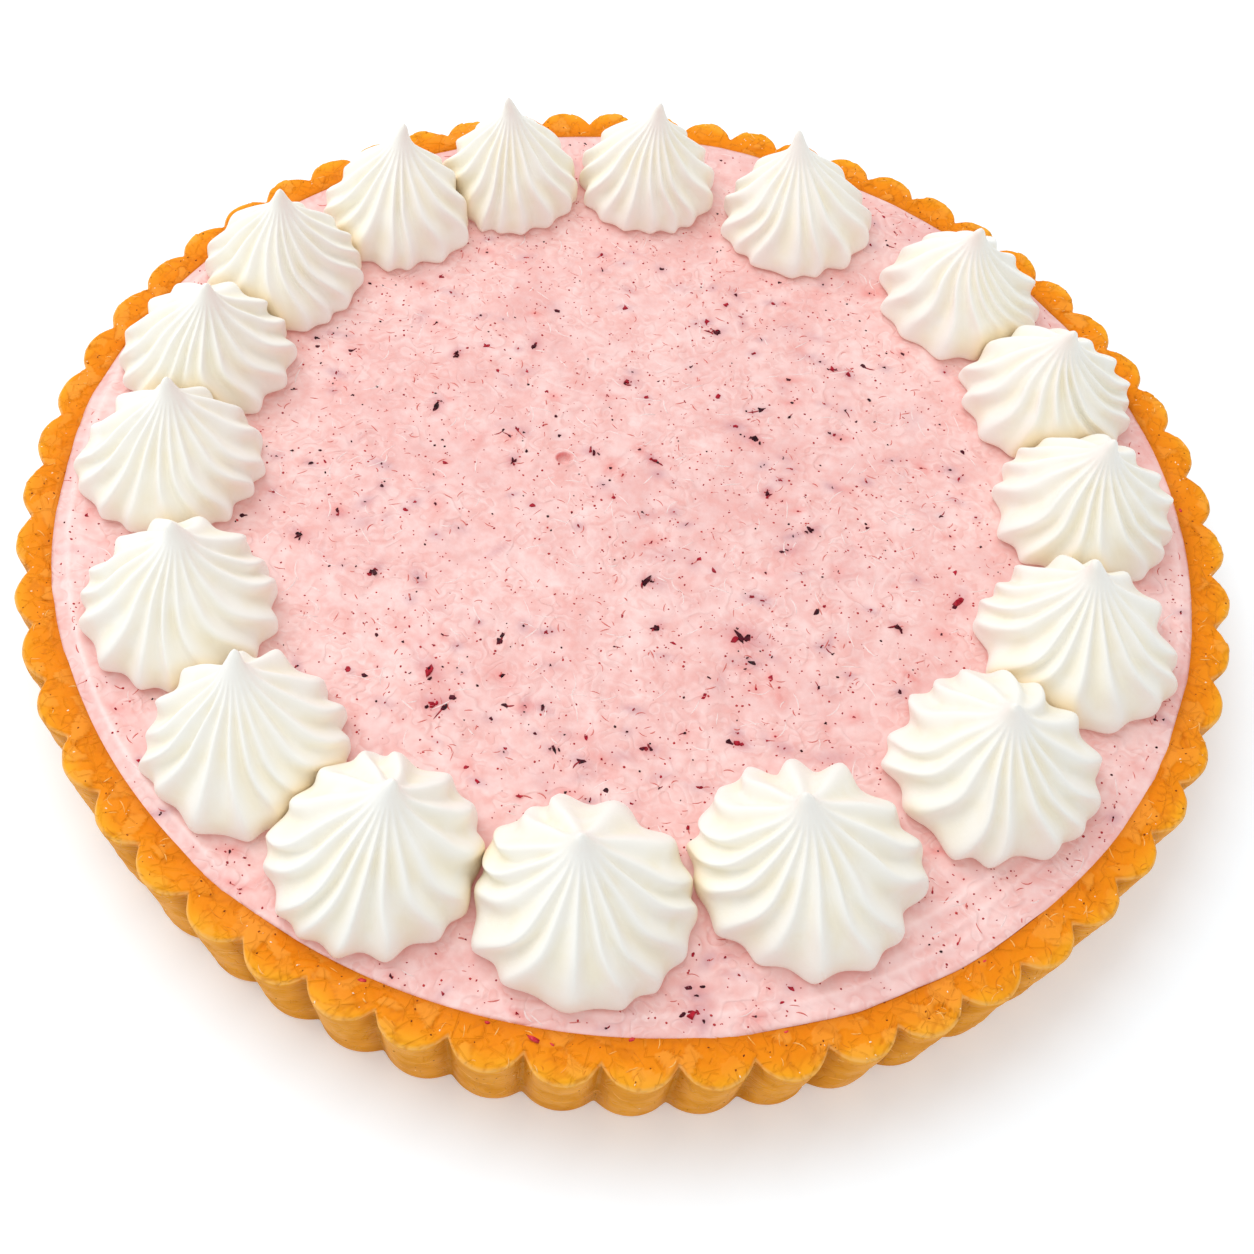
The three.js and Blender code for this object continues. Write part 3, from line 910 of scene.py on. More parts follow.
    def shape(self, vertex: bmesh.types.BMVert) -> dict[str, float]:
        """Moves one point of the spun section to its place, and gives each mask's strength there."""
        radius = math.hypot(vertex.co.x, vertex.co.y)
        level = vertex.co.z
        angle = math.atan2(vertex.co.y, vertex.co.x)
        where = self.drifted(angle)
        way = Vector((math.cos(where), math.sin(where), 0))
        bulge, from_groove = self.flute(angle, level)
        beyond = max(radius - self.cream_radius, 0.0)
        outward = min(beyond / (self.groove_radius_top - self.cream_radius), 1.0)
        outside = radius > self.cream_radius + 1 * MM
        reach = radius
        if level > self.height - self.lip_rounding:
            shoulder = self.groove_radius_top - self.lip_rounding - self.cream_radius
            reach += bulge * min(beyond / shoulder, 1.0)
        elif outside:
            reach += bulge
        place = Vector((reach * math.cos(where), reach * math.sin(where), level))
        on_rim = smoothstep(level, self.height - 1.0 * MM, self.height - 0.25 * MM)
        on_rim *= radius > self.cream_radius - 0.6 * MM
        rise, step, crack = 0.0, 0.0, 0.0
        if level > self.height / 2:
            rise += self.unevenness / 2 * (math.sin(3 * angle + 1) + math.sin(7 * angle))
        if on_rim > 0:
            relief, step, crack = self.pressed(place, outward)
            rise += relief * on_rim
        if outside:
            place += way * self.swollen(place)
        vertex.co = place + UP * (rise if level > 0.1 * MM else 0.0)
        # The lip mask places the painted highlight line on the rounded lip.
        lip = math.exp(-((level - (self.height - 0.35 * MM)) / (0.3 * MM)) ** 2)
        return {
            "rim": smoothstep(level, self.height - 1.1 * MM, self.height - 0.35 * MM),
            "outward": outward * mixed(0.55, 1.0, min(bulge / self.flute_depth_top, 1.0)),
            "groove": (1 - smoothstep(from_groove, 0.0, 0.45)) * outside,
            "lip": lip * (radius > self.groove_radius_top - 0.99 * self.lip_rounding),
            "crack": crack,
            "plate": (1 + step) / 2 * on_rim,
        }

    def build(self) -> None:
        """Spins the section, presses the flutes and the rim's relief into it, and dresses it."""
        form = spun(self.profile(), self.flutes, self.steps_a_flute)
        bmesh.ops.rotate(form, verts=form.verts, cent=(0, 0, 0),
                         matrix=Matrix.Rotation(self.first_groove, 3, "Z"))
        masks = {name: form.verts.layers.float.new(name)
                 for name in ("rim", "outward", "groove", "lip", "crack", "plate")}
        for vertex in form.verts:
            for name, strength in self.shape(vertex).items():
                vertex[masks[name]] = strength
        form.normal_update()
        CrumbScatter(Skin(form), shell=self).build()
        published("golden_crust", form, self.finish, ("crust",))


RIM_STRANDS = (
    StrandSort(Bit.CURL, 150, (0.9, 3.2), (0.2, 0.34), 1.3, 0.0, band=(0.12, 0.97)),
    StrandSort(Bit.CRACK, 190, (1.0, 4.0), (0.2, 0.34), 1.5, -0.15, band=(0.04, 0.95)),
)
RIM_CHIPS = (
    ChipSort(Bit.PORE, 200, (0.3, 0.7), 0.7, 0.3, 0.6, band=(0.02, 0.95)),
    ChipSort(Bit.CRUMB, 130, (0.3, 0.65), 0.6, 0.4, band=(0.3, 1.0)),
)
WALL_BAND = (0.12, 0.92)
WALL_CURLS = StrandSort(Bit.CURL, 200, (1.5, 6), (0.16, 0.26), 1.2, -0.1, band=WALL_BAND)
WALL_PORES = ChipSort(Bit.PORE, 190, (0.3, 0.7), 0.7, 0.3, 0.65, band=WALL_BAND)
WALL_CRUMBS = replace(WALL_PORES, kind=Bit.CRUMB)

# Angle in degrees, share of the rim's width and length in millimetres of each spot of juice.
JUICE_SPOTS = ((-92, 0.28, 3.0), (-90.4, 0.34, 1.4), (-107, 0.12, 2.0), (-96, 0.1, 1.4),
               (-84, 0.04, 1.6), (-71, 0.1, 1.3), (-52, 0.15, 1.2), (9, 0.1, 1.5))


@dataclass
class CrumbScatter(Scatter):
    """The short curls, cracks, pores and crumbs on the rim and the wall, and spots of juice."""

    shell: CrustShell | None = None
    seed: int = 71
    wall_slant: float = 0.7
    crumb_share: float = 0.3

    def on_rim(self, random: RandomStream, band: tuple[float, float]) -> Spot:
        """A random spot of the rim, between two shares of its width from the cream outward."""
        angle = TURN * random()
        bulge, _ = self.shell.flute(angle, self.shell.height)
        lip = self.shell.groove_radius_top + bulge - 0.5 * MM
        radius = mixed(self.shell.cream_radius, lip, random.between(*band))
        return self.over(self.shell.drifted(angle), radius)

    def on_wall(self, random: RandomStream, band: tuple[float, float]) -> Spot:
        """A random spot of the wall, between two shares of its height."""
        return self.skin.beside(TURN * random(), self.shell.height * random.between(*band))

    def over(self, angle: float, radius: float) -> Spot:
        """The spot seen from above at an angle and a radius."""
        return self.skin.under(radius * math.cos(angle), radius * math.sin(angle))

    def build(self) -> None:
        """Lays every sort and publishes each kind as one piece."""
        random = RandomStream(self.seed)
        for sort in RIM_STRANDS:
            for _ in range(sort.count):
                self.sorted_strand(sort, self.on_rim(random, sort.band), any_way, random)
        for sort in RIM_CHIPS:
            for _ in range(sort.count):
                length = random.between(*sort.length) * MM
                self.sorted_chip(sort, self.on_rim(random, sort.band), length, random)
        for _ in range(WALL_CURLS.count):
            self.sorted_strand(WALL_CURLS, self.on_wall(random, WALL_CURLS.band),
                               lambda stream: level_way(stream, self.wall_slant), random)
        for _ in range(WALL_PORES.count):
            length = random.between(*WALL_PORES.length) * MM
            sort = WALL_CRUMBS if random() < self.crumb_share else WALL_PORES
            self.sorted_chip(sort, self.on_wall(random, sort.band), length, random)
        rim_end = self.shell.groove_radius_top + 3 * MM
        for angle, out, length in JUICE_SPOTS:
            spot = self.over(math.radians(angle), mixed(self.shell.cream_radius, rim_end, out))
            size = Vector((length * MM, 0.5 * length * MM, 0.3 * MM))
            self.chip(Bit.JUICE, spot, size, turn=0.2, random=random)
        self.publish("crust")


# ------------------------------------------------------------------ the filling


@dataclass(frozen=True)
class Stain:
    """A soft stain in the cream, or a patch of painted shade in the dimple: its middle, its length and
    width, its turn and its strength.
    """

    x: float
    y: float
    length: float
    width: float
    turn: float = 0.0
    strength: float = 0.6
    warm: bool = False


@dataclass(frozen=True)
class KnifeLine:
    """A low ridge that the knife left along the rim.

    It runs between two angles in degrees, at a radius. Its width and height are in millimetres too.
    """

    first: float
    last: float
    radius: float
    width: float
    height: float

    def rise(self, angle: float, radius: float) -> float:
        """Height of the ridge at an angle and a radius, in millimetres."""
        turn, span = (angle - self.first) % 360, self.last - self.first
        along = smoothstep(turn, 0, 8) * (1 - smoothstep(turn, span - 8, span))
        waver = 0.5 * noise.noise(Vector((angle / 14, self.radius, 0)))
        return self.height * along * math.exp(-((radius - self.radius - waver) / self.width) ** 2)


KNIFE_LINES = (
    KnifeLine(150, 240, 126.0, 1.0, 0.5),
    KnifeLine(172, 206, 123.6, 0.7, 0.25),
    KnifeLine(284, 324, 117.2, 1.0, 0.35),
    KnifeLine(296, 338, 121.5, 0.8, 0.25),
    KnifeLine(262, 312, 124.8, 0.8, 0.3),
    KnifeLine(340, 372, 126.4, 0.8, 0.3),
)


@dataclass
class StrawberryFilling:
    """The pink cream, spread by a knife up to the rim. The dimple's depth and lip are in millimetres."""

    level: float
    foot: float
    edge_radius: float = 129.2 * MM
    foot_radius: float = 126.2 * MM
    grid: int = 300
    spread_relief: float = 0.4 * MM
    spread_radius: float = 80 * MM
    spread_fade: float = 7 * MM
    dimple_depth: float = 1.6
    dimple_lip: float = 0.35
    band_radius: float = 110 * MM
    dimple: tuple[float, float] = (-17.8 * MM, 10.3 * MM)
    dimple_radius: float = 1.9 * MM
    finish: Finish = field(default_factory=lambda: FillingFinish("strawberry cream", specular=0.35))
    stains: list[Stain] = field(default_factory=list)

    def swell(self, x: float, y: float) -> float:
        """Broad low swells, none under the kisses."""
        a, b = x / MM, y / MM
        wave = math.sin(a / 11 + 1.7 * math.sin(b / 19)) * math.cos(b / 13 + 1.3 * math.sin(a / 23))
        fade = 1 - smoothstep(math.hypot(x, y), self.spread_radius - self.spread_fade, self.spread_radius)
        return self.spread_relief / 2 * wave * fade

    def relief(self, x: float, y: float) -> float:
        """Height of the cream over its level: swells, smears, the knife's run and a dimple."""
        place = Vector((x, y, 0))
        radius = place.length
        angle = math.atan2(y, x)
        inner = 1 - smoothstep(radius, 112 * MM, 119 * MM)
        step, edge = plates(place, 9 * MM, 3.0)
        rise = self.swell(x, y) / MM
        rise += inner * (0.12 * step * smoothstep(edge, 0.0, 0.2) + 0.14 * wrinkle(place, 5 * MM, 1.0))
        rise += inner * (0.08 * wrinkle(place, 2.2 * MM, 2.0) + 0.14 * curly_line(place, 7 * MM, 0.16, 5.0))
        rise += 0.12 * wrinkle(place, 16 * MM, 4.0)
        runs = wrinkle(Vector((radius * 5, angle * 8 * MM, 0)), 5 * MM, 6.0)
        rise += 0.14 * runs * (1 - inner)
        from_dimple = math.hypot(x - self.dimple[0], y - self.dimple[1]) / self.dimple_radius
        rise -= self.dimple_depth * (1 - smoothstep(from_dimple, 0.5, 1.0))
        rise += self.dimple_lip * math.exp(-((from_dimple - 1.2) / 0.22) ** 2)
        return rise * MM

    def ridge(self, x: float, y: float) -> float:
        """Height of the knife's ridges at a place, in millimetres."""
        radius = math.hypot(x, y)
        if radius < self.band_radius:
            return 0.0
        angle = math.degrees(math.atan2(y, x))
        return sum(line.rise(angle, radius / MM) for line in KNIFE_LINES)

    def build(self) -> None:
        """Bends a square grid into a disc, shapes it, closes it down to the floor, and adds the fruit."""
        form = bmesh.new()
        bmesh.ops.create_grid(form, x_segments=self.grid, y_segments=self.grid, size=1.0)
        for vertex in form.verts:
            x, y = vertex.co.x, vertex.co.y
            flat = Vector((x * math.sqrt(1 - y * y / 2), y * math.sqrt(1 - x * x / 2), 0))
            vertex.co = flat * self.edge_at(math.atan2(flat.y, flat.x))
        middle = Vector((*self.dimple, 0))
        near = [edge for edge in form.edges
                if all((vertex.co - middle).length < 1.8 * self.dimple_radius for vertex in edge.verts)]
        bmesh.ops.subdivide_edges(form, edges=near, cuts=3, use_grid_fill=True)
        ridge_highlight = form.verts.layers.float.new("ridge_highlight")
        for vertex in form.verts:
            x, y = vertex.co.x, vertex.co.y
            edge = self.edge_at(math.atan2(y, x))
            roll = smoothstep(math.hypot(x, y), edge - 0.9 * MM, edge)
            ridge = self.ridge(x, y)
            vertex.co.z = self.level + self.relief(x, y) + (ridge + 0.24 - 0.22 * roll) * MM
            # The ridge's height also sets the painted highlight along it.
            vertex[ridge_highlight] = min(1.1 * ridge, 0.6)
        border = [edge for edge in form.edges if edge.is_boundary]
        skirt = bmesh.ops.extrude_edge_only(form, edges=border)["geom"]
        for vertex in (item for item in skirt if isinstance(item, bmesh.types.BMVert)):
            way = Vector((vertex.co.x, vertex.co.y, 0)).normalized()
            vertex.co = way * self.foot_radius + UP * self.foot
        bmesh.ops.holes_fill(form, edges=[edge for edge in form.edges if edge.is_boundary])
        bmesh.ops.recalc_face_normals(form, faces=form.faces)
        FruitScatter(Skin(form), filling=self).build()
        piece = published("strawberry_cream", form, self.finish, ("filling",))
        # The stain masks also carry the painted shade in the dimple.
        self.draw("stain", [stain for stain in self.stains if not stain.warm], piece.data)
        self.draw("warm_stain_and_shade", [stain for stain in self.stains if stain.warm], piece.data)

    def edge_at(self, angle: float) -> float:
        """How far the cream reaches over the rim: its edge wavers."""
        way = Vector((math.cos(angle), math.sin(angle), 0.1))
        return self.edge_radius + MM * (0.7 * noise.noise(way * 7) + 0.25 * noise.noise(way * 25))

    @staticmethod
    def draw(name: str, stains: list[Stain], mesh: bpy.types.Mesh) -> None:
        """Draws stains, and the painted shade in the dimple, as a mask on the mesh."""
        places = np.empty(len(mesh.vertices) * 3)
        mesh.vertices.foreach_get("co", places)
        places = places.reshape(-1, 3)
        mask = np.zeros(len(places))
        for stain in stains:
            x, y = places[:, 0] - stain.x, places[:, 1] - stain.y
            along = (x * math.cos(stain.turn) + y * math.sin(stain.turn)) / stain.length
            aside = (y * math.cos(stain.turn) - x * math.sin(stain.turn)) / stain.width
            mask = np.maximum(mask, stain.strength * np.exp(-along ** 2 - aside ** 2))
        layer = mesh.attributes.new(name, "FLOAT", "POINT")
        layer.data.foreach_set("value", mask.astype(np.float32))


# ------------------------------------------------------------------ fruit


@dataclass(frozen=True)
class FruitPiece:
    """One of the larger pieces: where it lies, in millimetres, its length and its turn."""

    x: float
    y: float
    length: float
    turn: float
    kind: Bit = Bit.DARK


LARGE_FRUIT = (
    FruitPiece(-50, 21, 4.2, 80),
    FruitPiece(14, 58, 3.6, 20),
    FruitPiece(-30, 45, 3.2, 70),
    FruitPiece(26, 24, 4.4, 150),
    FruitPiece(-55, -30, 3.2, 60),
    FruitPiece(-73, -23, 3.4, 120),
    FruitPiece(5, -22, 4, 10),
    FruitPiece(27, -34, 7, 12),
    FruitPiece(-38, -54, 5.2, 105, Bit.RED),
    FruitPiece(-36, -62, 4.6, 30, Bit.RED),
    FruitPiece(28, -61, 3.8, 0, Bit.RED),
    FruitPiece(75, -16, 4.4, 60, Bit.RED),
    FruitPiece(24, -122, 4.4, 15, Bit.RED),
)

# Kind, kind of the tail, count and seed of the small flakes.
SMALL_FLAKES = ((Bit.DARK, Bit.TAIL, 150, 21), (Bit.RED, Bit.THREAD, 170, 22))
SEEDS = ChipSort(Bit.SEED, 110, (0.4, 0.95), 0.8, 0.5)
DOTS = ChipSort(Bit.DOT, 2600, (0.3, 0.8), 1.0, 0.25)
THREADS = StrandSort(Bit.THREAD, 420, (0.8, 2.8), (0.22, 0.42), 1.6, -0.1)
WISPS = StrandSort(Bit.WISP, 300, (2, 6), (0.5, 0.9), 1.4, -0.28)


@dataclass
class FruitScatter(Scatter):
    """The fruit in the cream: the large pieces where they lie, and many small ones between them."""

    filling: StrawberryFilling | None = None
    reach: float = 128 * MM
    thickness: float = 1.3 * MM
    small_count: int = 12
    small_length: float = 3 * MM
    small_spacing: float = 13 * MM
    small_seed: int = 11
    tail_share: float = 0.25
    plain_stains: int = 70

    def spots(self, count: int, seed: int, margin: float) -> Iterator[tuple[Spot, RandomStream]]:
        """Draws bare spots of the cream.

        Args:
            count: How many spots.
            seed: Seed of the stream.
            margin: Least distance from a kiss or the rim.

        Yields:
            Each spot, with the stream to draw the piece's form from.
        """
        random = RandomStream(seed)
        made = 0
        while made < count:
            radius = (self.reach - margin) * math.sqrt(random())
            angle = TURN * random()
            x, y = radius * math.cos(angle), radius * math.sin(angle)
            if all(math.hypot(x - kiss.centre.x, y - kiss.centre.y) > kiss.radius * 0.97 + margin
                   for kiss in KISSES):
                made += 1
                yield self.skin.under(x, y), random

    @staticmethod
    def heading(random: RandomStream) -> float:
        """A way to point: most lie across, as the knife drew them."""
        swept = level_way(random, 0.5)
        return swept if random() < 0.7 else any_way(random)

    def stain(self, spot: Spot, length: float, width: float, turn: float, strength: float,
              warm: bool = False) -> None:
        """Notes a stain for the cream."""
        x, y, _ = spot.point
        self.filling.stains.append(Stain(x, y, length, width, turn, strength, warm))

    def large(self) -> None:
        """Lays the large pieces, each a few rough flakes with tails, and stains the cream."""
        random = RandomStream(seed=5)
        for piece in [*LARGE_FRUIT, *self.scattered()]:
            spot = self.skin.under(piece.x * MM, piece.y * MM)
            length = piece.length * MM
            turn = math.radians(piece.turn)
            along = Vector((math.cos(turn), math.sin(turn), 0))
            size = length * random.between(0.8, 1.05), length * random.between(0.42, 0.6), self.thickness
            self.flake(piece.kind, spot, Vector(size), turn, random)
            for side in (-1, 1):
                share = random.between(0.35, 0.6)
                end = self.skin.near(spot.point + along * length * side * random.between(0.2, 0.36))
                small = Vector((length * share, length * share * 0.6, 0.7 * self.thickness))
                kind = Bit.RED if random() < 0.45 else Bit.DARK
                self.flake(kind, end, small, turn + random.between(-0.9, 0.9), random)
                if random() < self.tail_share:
                    heading = turn + (0 if side > 0 else math.pi) + random.between(-0.6, 0.6)
                    self.strand(Bit.TAIL, end, random.between(0.4, 0.8) * length, 0.5 * MM, heading,
                                random.between(-1, 1), 0.1)
            drift = turn + random.between(-0.6, 0.6)
            self.stain(end, length * 0.7, length * 0.4, drift, random.between(0.5, 0.9))
            self.stain(spot, length * 0.6, length * 0.5, turn, random.between(0.3, 0.6), True)

    def scattered(self) -> list[FruitPiece]:
        """Pieces between the large ones, inside the ring, none nearer than the least distance."""
        random = RandomStream(self.small_seed)
        pieces: list[FruitPiece] = []
        while len(pieces) < self.small_count:
            radius = (self.filling.spread_radius - self.small_length) * math.sqrt(random())
            angle = TURN * random()
            x, y = radius * math.cos(angle) / MM, radius * math.sin(angle) / MM
            turn = 180 * random()
            gap = min(math.hypot(other.x - x, other.y - y) for other in [*LARGE_FRUIT, *pieces])
            if gap > self.small_spacing / MM:
                kind = Bit.RED if len(pieces) % 3 == 0 else Bit.DARK
                pieces.append(FruitPiece(x, y, self.small_length / MM, turn, kind))
        return pieces

    def small(self) -> None:
        """Sprinkles the small flakes, seeds and dots, with their tails and stains."""
        for kind, tail, count, seed in SMALL_FLAKES:
            for spot, random in self.spots(count, seed, margin=0.5 * MM):
                length = mixed(0.8, 2.7, random() ** 2) * MM
                turn = self.heading(random)
                size = length, length * random.between(0.5, 0.9), random.between(0.5, 0.8) * MM
                self.flake(kind, spot, Vector(size), turn, random)
                if random() < self.tail_share:
                    reach = random.between(0.8, 1.5) * length
                    self.strand(tail, spot, reach, random.between(0.25, 0.45) * MM, turn,
                                random.between(-1.2, 1.2), 0.0)
                if random() < 0.75:
                    self.stain(spot, random.between(1.2, 3) * MM, random.between(0.8, 1.5) * MM, turn,
                               random.between(0.35, 0.85), random() < 0.35)
        for spot, random in self.spots(SEEDS.count, seed=23, margin=0.3 * MM):
            self.sorted_chip(SEEDS, spot, random.between(*SEEDS.length) * MM, random)
        for spot, random in self.spots(DOTS.count, seed=27, margin=0.1 * MM):
            length = mixed(*DOTS.length, random() ** 2) * MM
            size = Vector((length, length * random.between(0.6, DOTS.width), DOTS.thickness * MM))
            self.chip(DOTS.kind, spot, size, any_way(random), random)

    def lines(self) -> None:
        """Lays the red threads, the pale wisps and plain stains."""
        for sort, seed, margin in ((THREADS, 24, 0.5 * MM), (WISPS, 25, 1.2 * MM)):
            for spot, random in self.spots(sort.count, seed, margin):
                self.sorted_strand(sort, spot, self.heading, random)
        for spot, random in self.spots(self.plain_stains, seed=26, margin=1.0 * MM):
            self.stain(spot, random.between(1.5, 5) * MM, random.between(1.2, 2.2) * MM, any_way(random),
                       random.between(0.15, 0.45), random() < 0.4)

    def crater(self) -> None:
        """Paints shade onto the dimple's wall as short arcs in the stain masks, darkest on the shaded side,
        and lays one mark beside it.
        """
        x, y = self.filling.dimple
        radius = self.filling.dimple_radius
        arcs = 16
        shade_angle = math.radians(140)
        stains = self.filling.stains
        for step in range(arcs):
            turn = TURN * step / arcs
            shaded = max(math.cos(turn - shade_angle), 0.0)
            middle = (x + 0.95 * radius * math.cos(turn), y + 0.95 * radius * math.sin(turn))
            across = (0.35 * radius, 0.17 * radius, turn + math.pi / 2)
            stains.append(Stain(*middle, *across, mixed(0.25, 1.4, shaded), True))
            stains.append(Stain(*middle, *across, 0.8 * shaded))
        stains.append(Stain(x + radius, y + 0.8 * radius, 0.9 * radius, 0.2 * radius, 0.1, 0.7, True))

    def build(self) -> None:
        """Lays every kind and publishes each as one piece."""
        self.large()
        self.small()
        self.lines()
        self.crater()
        self.publish("filling")


# ------------------------------------------------------------------ the cream kisses


@dataclass
class CreamKiss:
    """One star-piped kiss of cream, with ridges that swirl up to a leaning tip."""

    number: int
    angle: float
    ring: float
    width: float
    lean: tuple[float, float]
    swirl: float
    ridges: int = 15
    steps_a_ridge: int = 16
    rows: int = 84
    groove_foot: float = 0.075
    groove_waist: float = 0.19
    crest_foot: float = 0.24
    crest_waist: float = 0.3
    gather: float = 0.38
    sink: float = 0.35 * MM
    press_softness: float = 2.0 * MM
    touch_reach: float = 3.2 * MM
    # Strengths of the painted warm glow where a neighbour presses and at the foot.
    painted_touch_strength: float = 0.7
    painted_foot_glow: float = 0.25
    ridges_end: tuple[float, float] = (0.60, 0.86)
    bend: float = 1.6
    outline: tuple[tuple[float, float], ...] = (
        (0.90, 0.0), (0.98, 0.03), (1.0, 0.08), (0.98, 0.17), (0.91, 0.28), (0.80, 0.39), (0.66, 0.49),
        (0.50, 0.585), (0.34, 0.67), (0.215, 0.745), (0.135, 0.82), (0.085, 0.89), (0.045, 0.96), (0.0, 1.0))
    finish: Finish = field(default_factory=lambda: CreamFinish("piped cream", specular=0.3))
    faces: list[tuple[Vector, float]] = field(default_factory=list)

    @property
    def node(self) -> str:
        """Name of the solid that this kiss replaces."""
        return f"cream_kiss_{self.number:02d}"

    @property
    def centre(self) -> Vector:
        """The middle of the kiss's foot."""
        turn = math.radians(self.angle)
        return Vector((math.cos(turn), math.sin(turn), 0)) * self.ring * MM

    @property
    def radius(self) -> float:
        """Half the width over the ridges."""
        return self.width / 2 * MM

    def press_on(self, neighbour: "CreamKiss") -> None:
        """Notes the upright plane where this kiss meets a neighbour."""
        toward = neighbour.centre - self.centre
        span = toward.length
        distance = (span * span + self.radius ** 2 - neighbour.radius ** 2) / (2 * span)
        self.faces.append((toward.normalized(), distance))

    def profile(self, height: float) -> list[Vector]:
        """The outline over the ridges, from the middle of the foot to the tip."""
        shown = smooth_curve([(r * self.radius, z * height) for r, z in self.outline], self.rows)
        return [Vector((0, 0, 0)), Vector((0.55 * self.radius, 0, 0)), *shown]

    def ridged(self, place: Vector, rise: float, ridges: "RidgeSet") -> tuple[Vector, float]:
        """Presses the ridges in at one point of the spun outline, and leans it.

        Args:
            place: The point.
            rise: Its height as a share of the kiss's height.
            ridges: The ridges of this kiss.

        Returns:
            The point's new place over the middle of the foot, level, and the strength of the groove.
        """
        radius = math.hypot(place.x, place.y)
        count = math.atan2(place.y, place.x) / TURN * self.ridges % self.ridges
        ridged = 1 - smoothstep(rise, *self.ridges_end)
        trough = self.trough(count - math.floor(count), rise)
        depth = mixed(self.groove_foot, self.groove_waist, smoothstep(rise, 0.05, 0.55))
        depth *= ridges.depth(count, rise)
        reach = radius * (1 + ridged * (ridges.height(count) - depth * trough))
        turn = ridges.turn(count, rise) + math.radians(self.swirl) * (1 - smoothstep(rise, 0.0, 0.8))
        turn -= self.gather * smoothstep(rise, 0.1, 0.5) * math.cos(turn)
        way = Vector((math.cos(turn), math.sin(turn), 0))
        seed = Vector((self.number * 3.7, 0, 0))
        bulge = 0.05 * noise.noise(way * 1.3 + UP * 2.5 * rise + seed)
        bulge += 0.02 * noise.noise(way * 4 + UP * 6 * rise + seed)
        reach *= 1 + bulge * min(1.0, radius / (0.2 * self.radius))
        point = way * reach + Vector((*self.lean, 0)) * rise ** self.bend * MM
        point += ridges.hook * smoothstep(rise, 0.82, 1.0)
        return point, trough * ridged * smoothstep(rise, 0.0, 0.12)

    def pressed(self, point: Vector) -> tuple[Vector, float]:
        """Presses a point back from the neighbours, and tells how near it is to them, from 0 to 1."""
        touch = 0.0
        for toward, distance in self.faces:
            along = point.dot(toward)
            point = point + toward * (soft_minimum(along, distance, self.press_softness) - along)
            touch = max(touch, smoothstep(along, distance - self.touch_reach, distance + 1 * MM))
        return point, touch

    def build(self) -> None:
        """Spins the outline, presses the ridges in, leans the tip and dresses the kiss."""
        low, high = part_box(self.node)
        foot = low.z - self.sink
        height = high.z - foot
        form = spun(self.profile(height), self.ridges, self.steps_a_ridge)
        ridges = RidgeSet(self.ridges, 300 + self.number)
        groove, painted_glow_layer = (form.verts.layers.float.new(name) for name in ("groove", "touch"))
        for vertex in form.verts:
            rise = min(max(vertex.co.z / height, 0.0), 1.0)
            # The groove mask places the painted shade in the troughs.
            point, vertex[groove] = self.ridged(vertex.co, rise, ridges)
            point, touch = self.pressed(point)
            vertex.co = self.centre + point + UP * (foot + vertex.co.z)
            # The painted glow is strongest low down where kisses touch, and along the foot.
            at_foot = self.painted_foot_glow * (1 - smoothstep(rise, 0.0, 0.10))
            vertex[painted_glow_layer] = max(self.painted_touch_strength * touch * (1 - smoothstep(rise, 0.25, 0.5)), at_foot)
        published(f"piped_{self.node}", form, self.finish, (self.node,))

    def trough(self, across: float, rise: float) -> float:
        """Depth of the broad groove between two crests, from 0 on a crest to 1 in the middle.

        Args:
            across: Share of the way from one crest to the next.
            rise: Share of the height. The crests are sharp at the foot and soft above.

        Returns:
            The depth.
        """
        aside = 1 - abs(2 * across - 1)
        soft = mixed(self.crest_foot, self.crest_waist, smoothstep(rise, 0.0, 0.5))
        rounded = (math.sqrt(aside * aside + soft * soft) - soft) / (math.sqrt(1 + soft * soft) - soft)
        return math.sin(math.pi / 2 * rounded)


class RidgeSet:
    """The ridges of one kiss: how wide, high and deep each is, and how they waver on their way up."""

    def __init__(self, count: int, seed: int) -> None:
        """Draws the ridges.

        Args:
            count: How many ridges there are.
            seed: Seed of the stream.
        """
        random = RandomStream(seed)
        self.count = count
        self.start = TURN * random()
        widths = [random.between(0.65, 1.5) for _ in range(count)]
        self.sides = [0.0]
        for width in widths:
            self.sides.append(self.sides[-1] + width / sum(widths))
        self.foot_depths = [random.between(0.5, 1.3) * width for width in widths]
        self.waist_depths = [random.between(0.65, 1.25) for _ in range(count)]
        self.heights = [random.between(-0.035, 0.02) for _ in range(count)]
        self.wave = math.radians(random.between(2.0, 4.5))
        self.phase = TURN * random()
        self.hook = Vector((random.between(-0.7, 0.7), random.between(-0.7, 0.7), 0)) * MM

    def depth(self, count: float, rise: float) -> float:
        """How deep the groove here is against the usual."""
        ridge = int(count) % self.count
        return mixed(self.foot_depths[ridge], self.waist_depths[ridge], smoothstep(rise, 0.08, 0.45))

    def height(self, count: float) -> float:
        """How much the crests here stand out against the usual, as a share of the radius."""
        ridge = int(count) % self.count
        return mixed(self.heights[ridge], self.heights[(ridge + 1) % self.count], count - math.floor(count))

    def turn(self, count: float, rise: float) -> float:
        """The angle of a place counted in ridges: uneven at the foot, even at the tip."""
        ridge = int(count) % self.count
        uneven = mixed(self.sides[ridge], self.sides[ridge + 1], count - math.floor(count))
        share = mixed(uneven, count / self.count, smoothstep(rise, 0.3, 0.9))
        waver = self.wave * math.sin(self.phase + 5.5 * rise) * (1 - smoothstep(rise, 0.55, 0.85))
        return self.start + share * TURN + waver


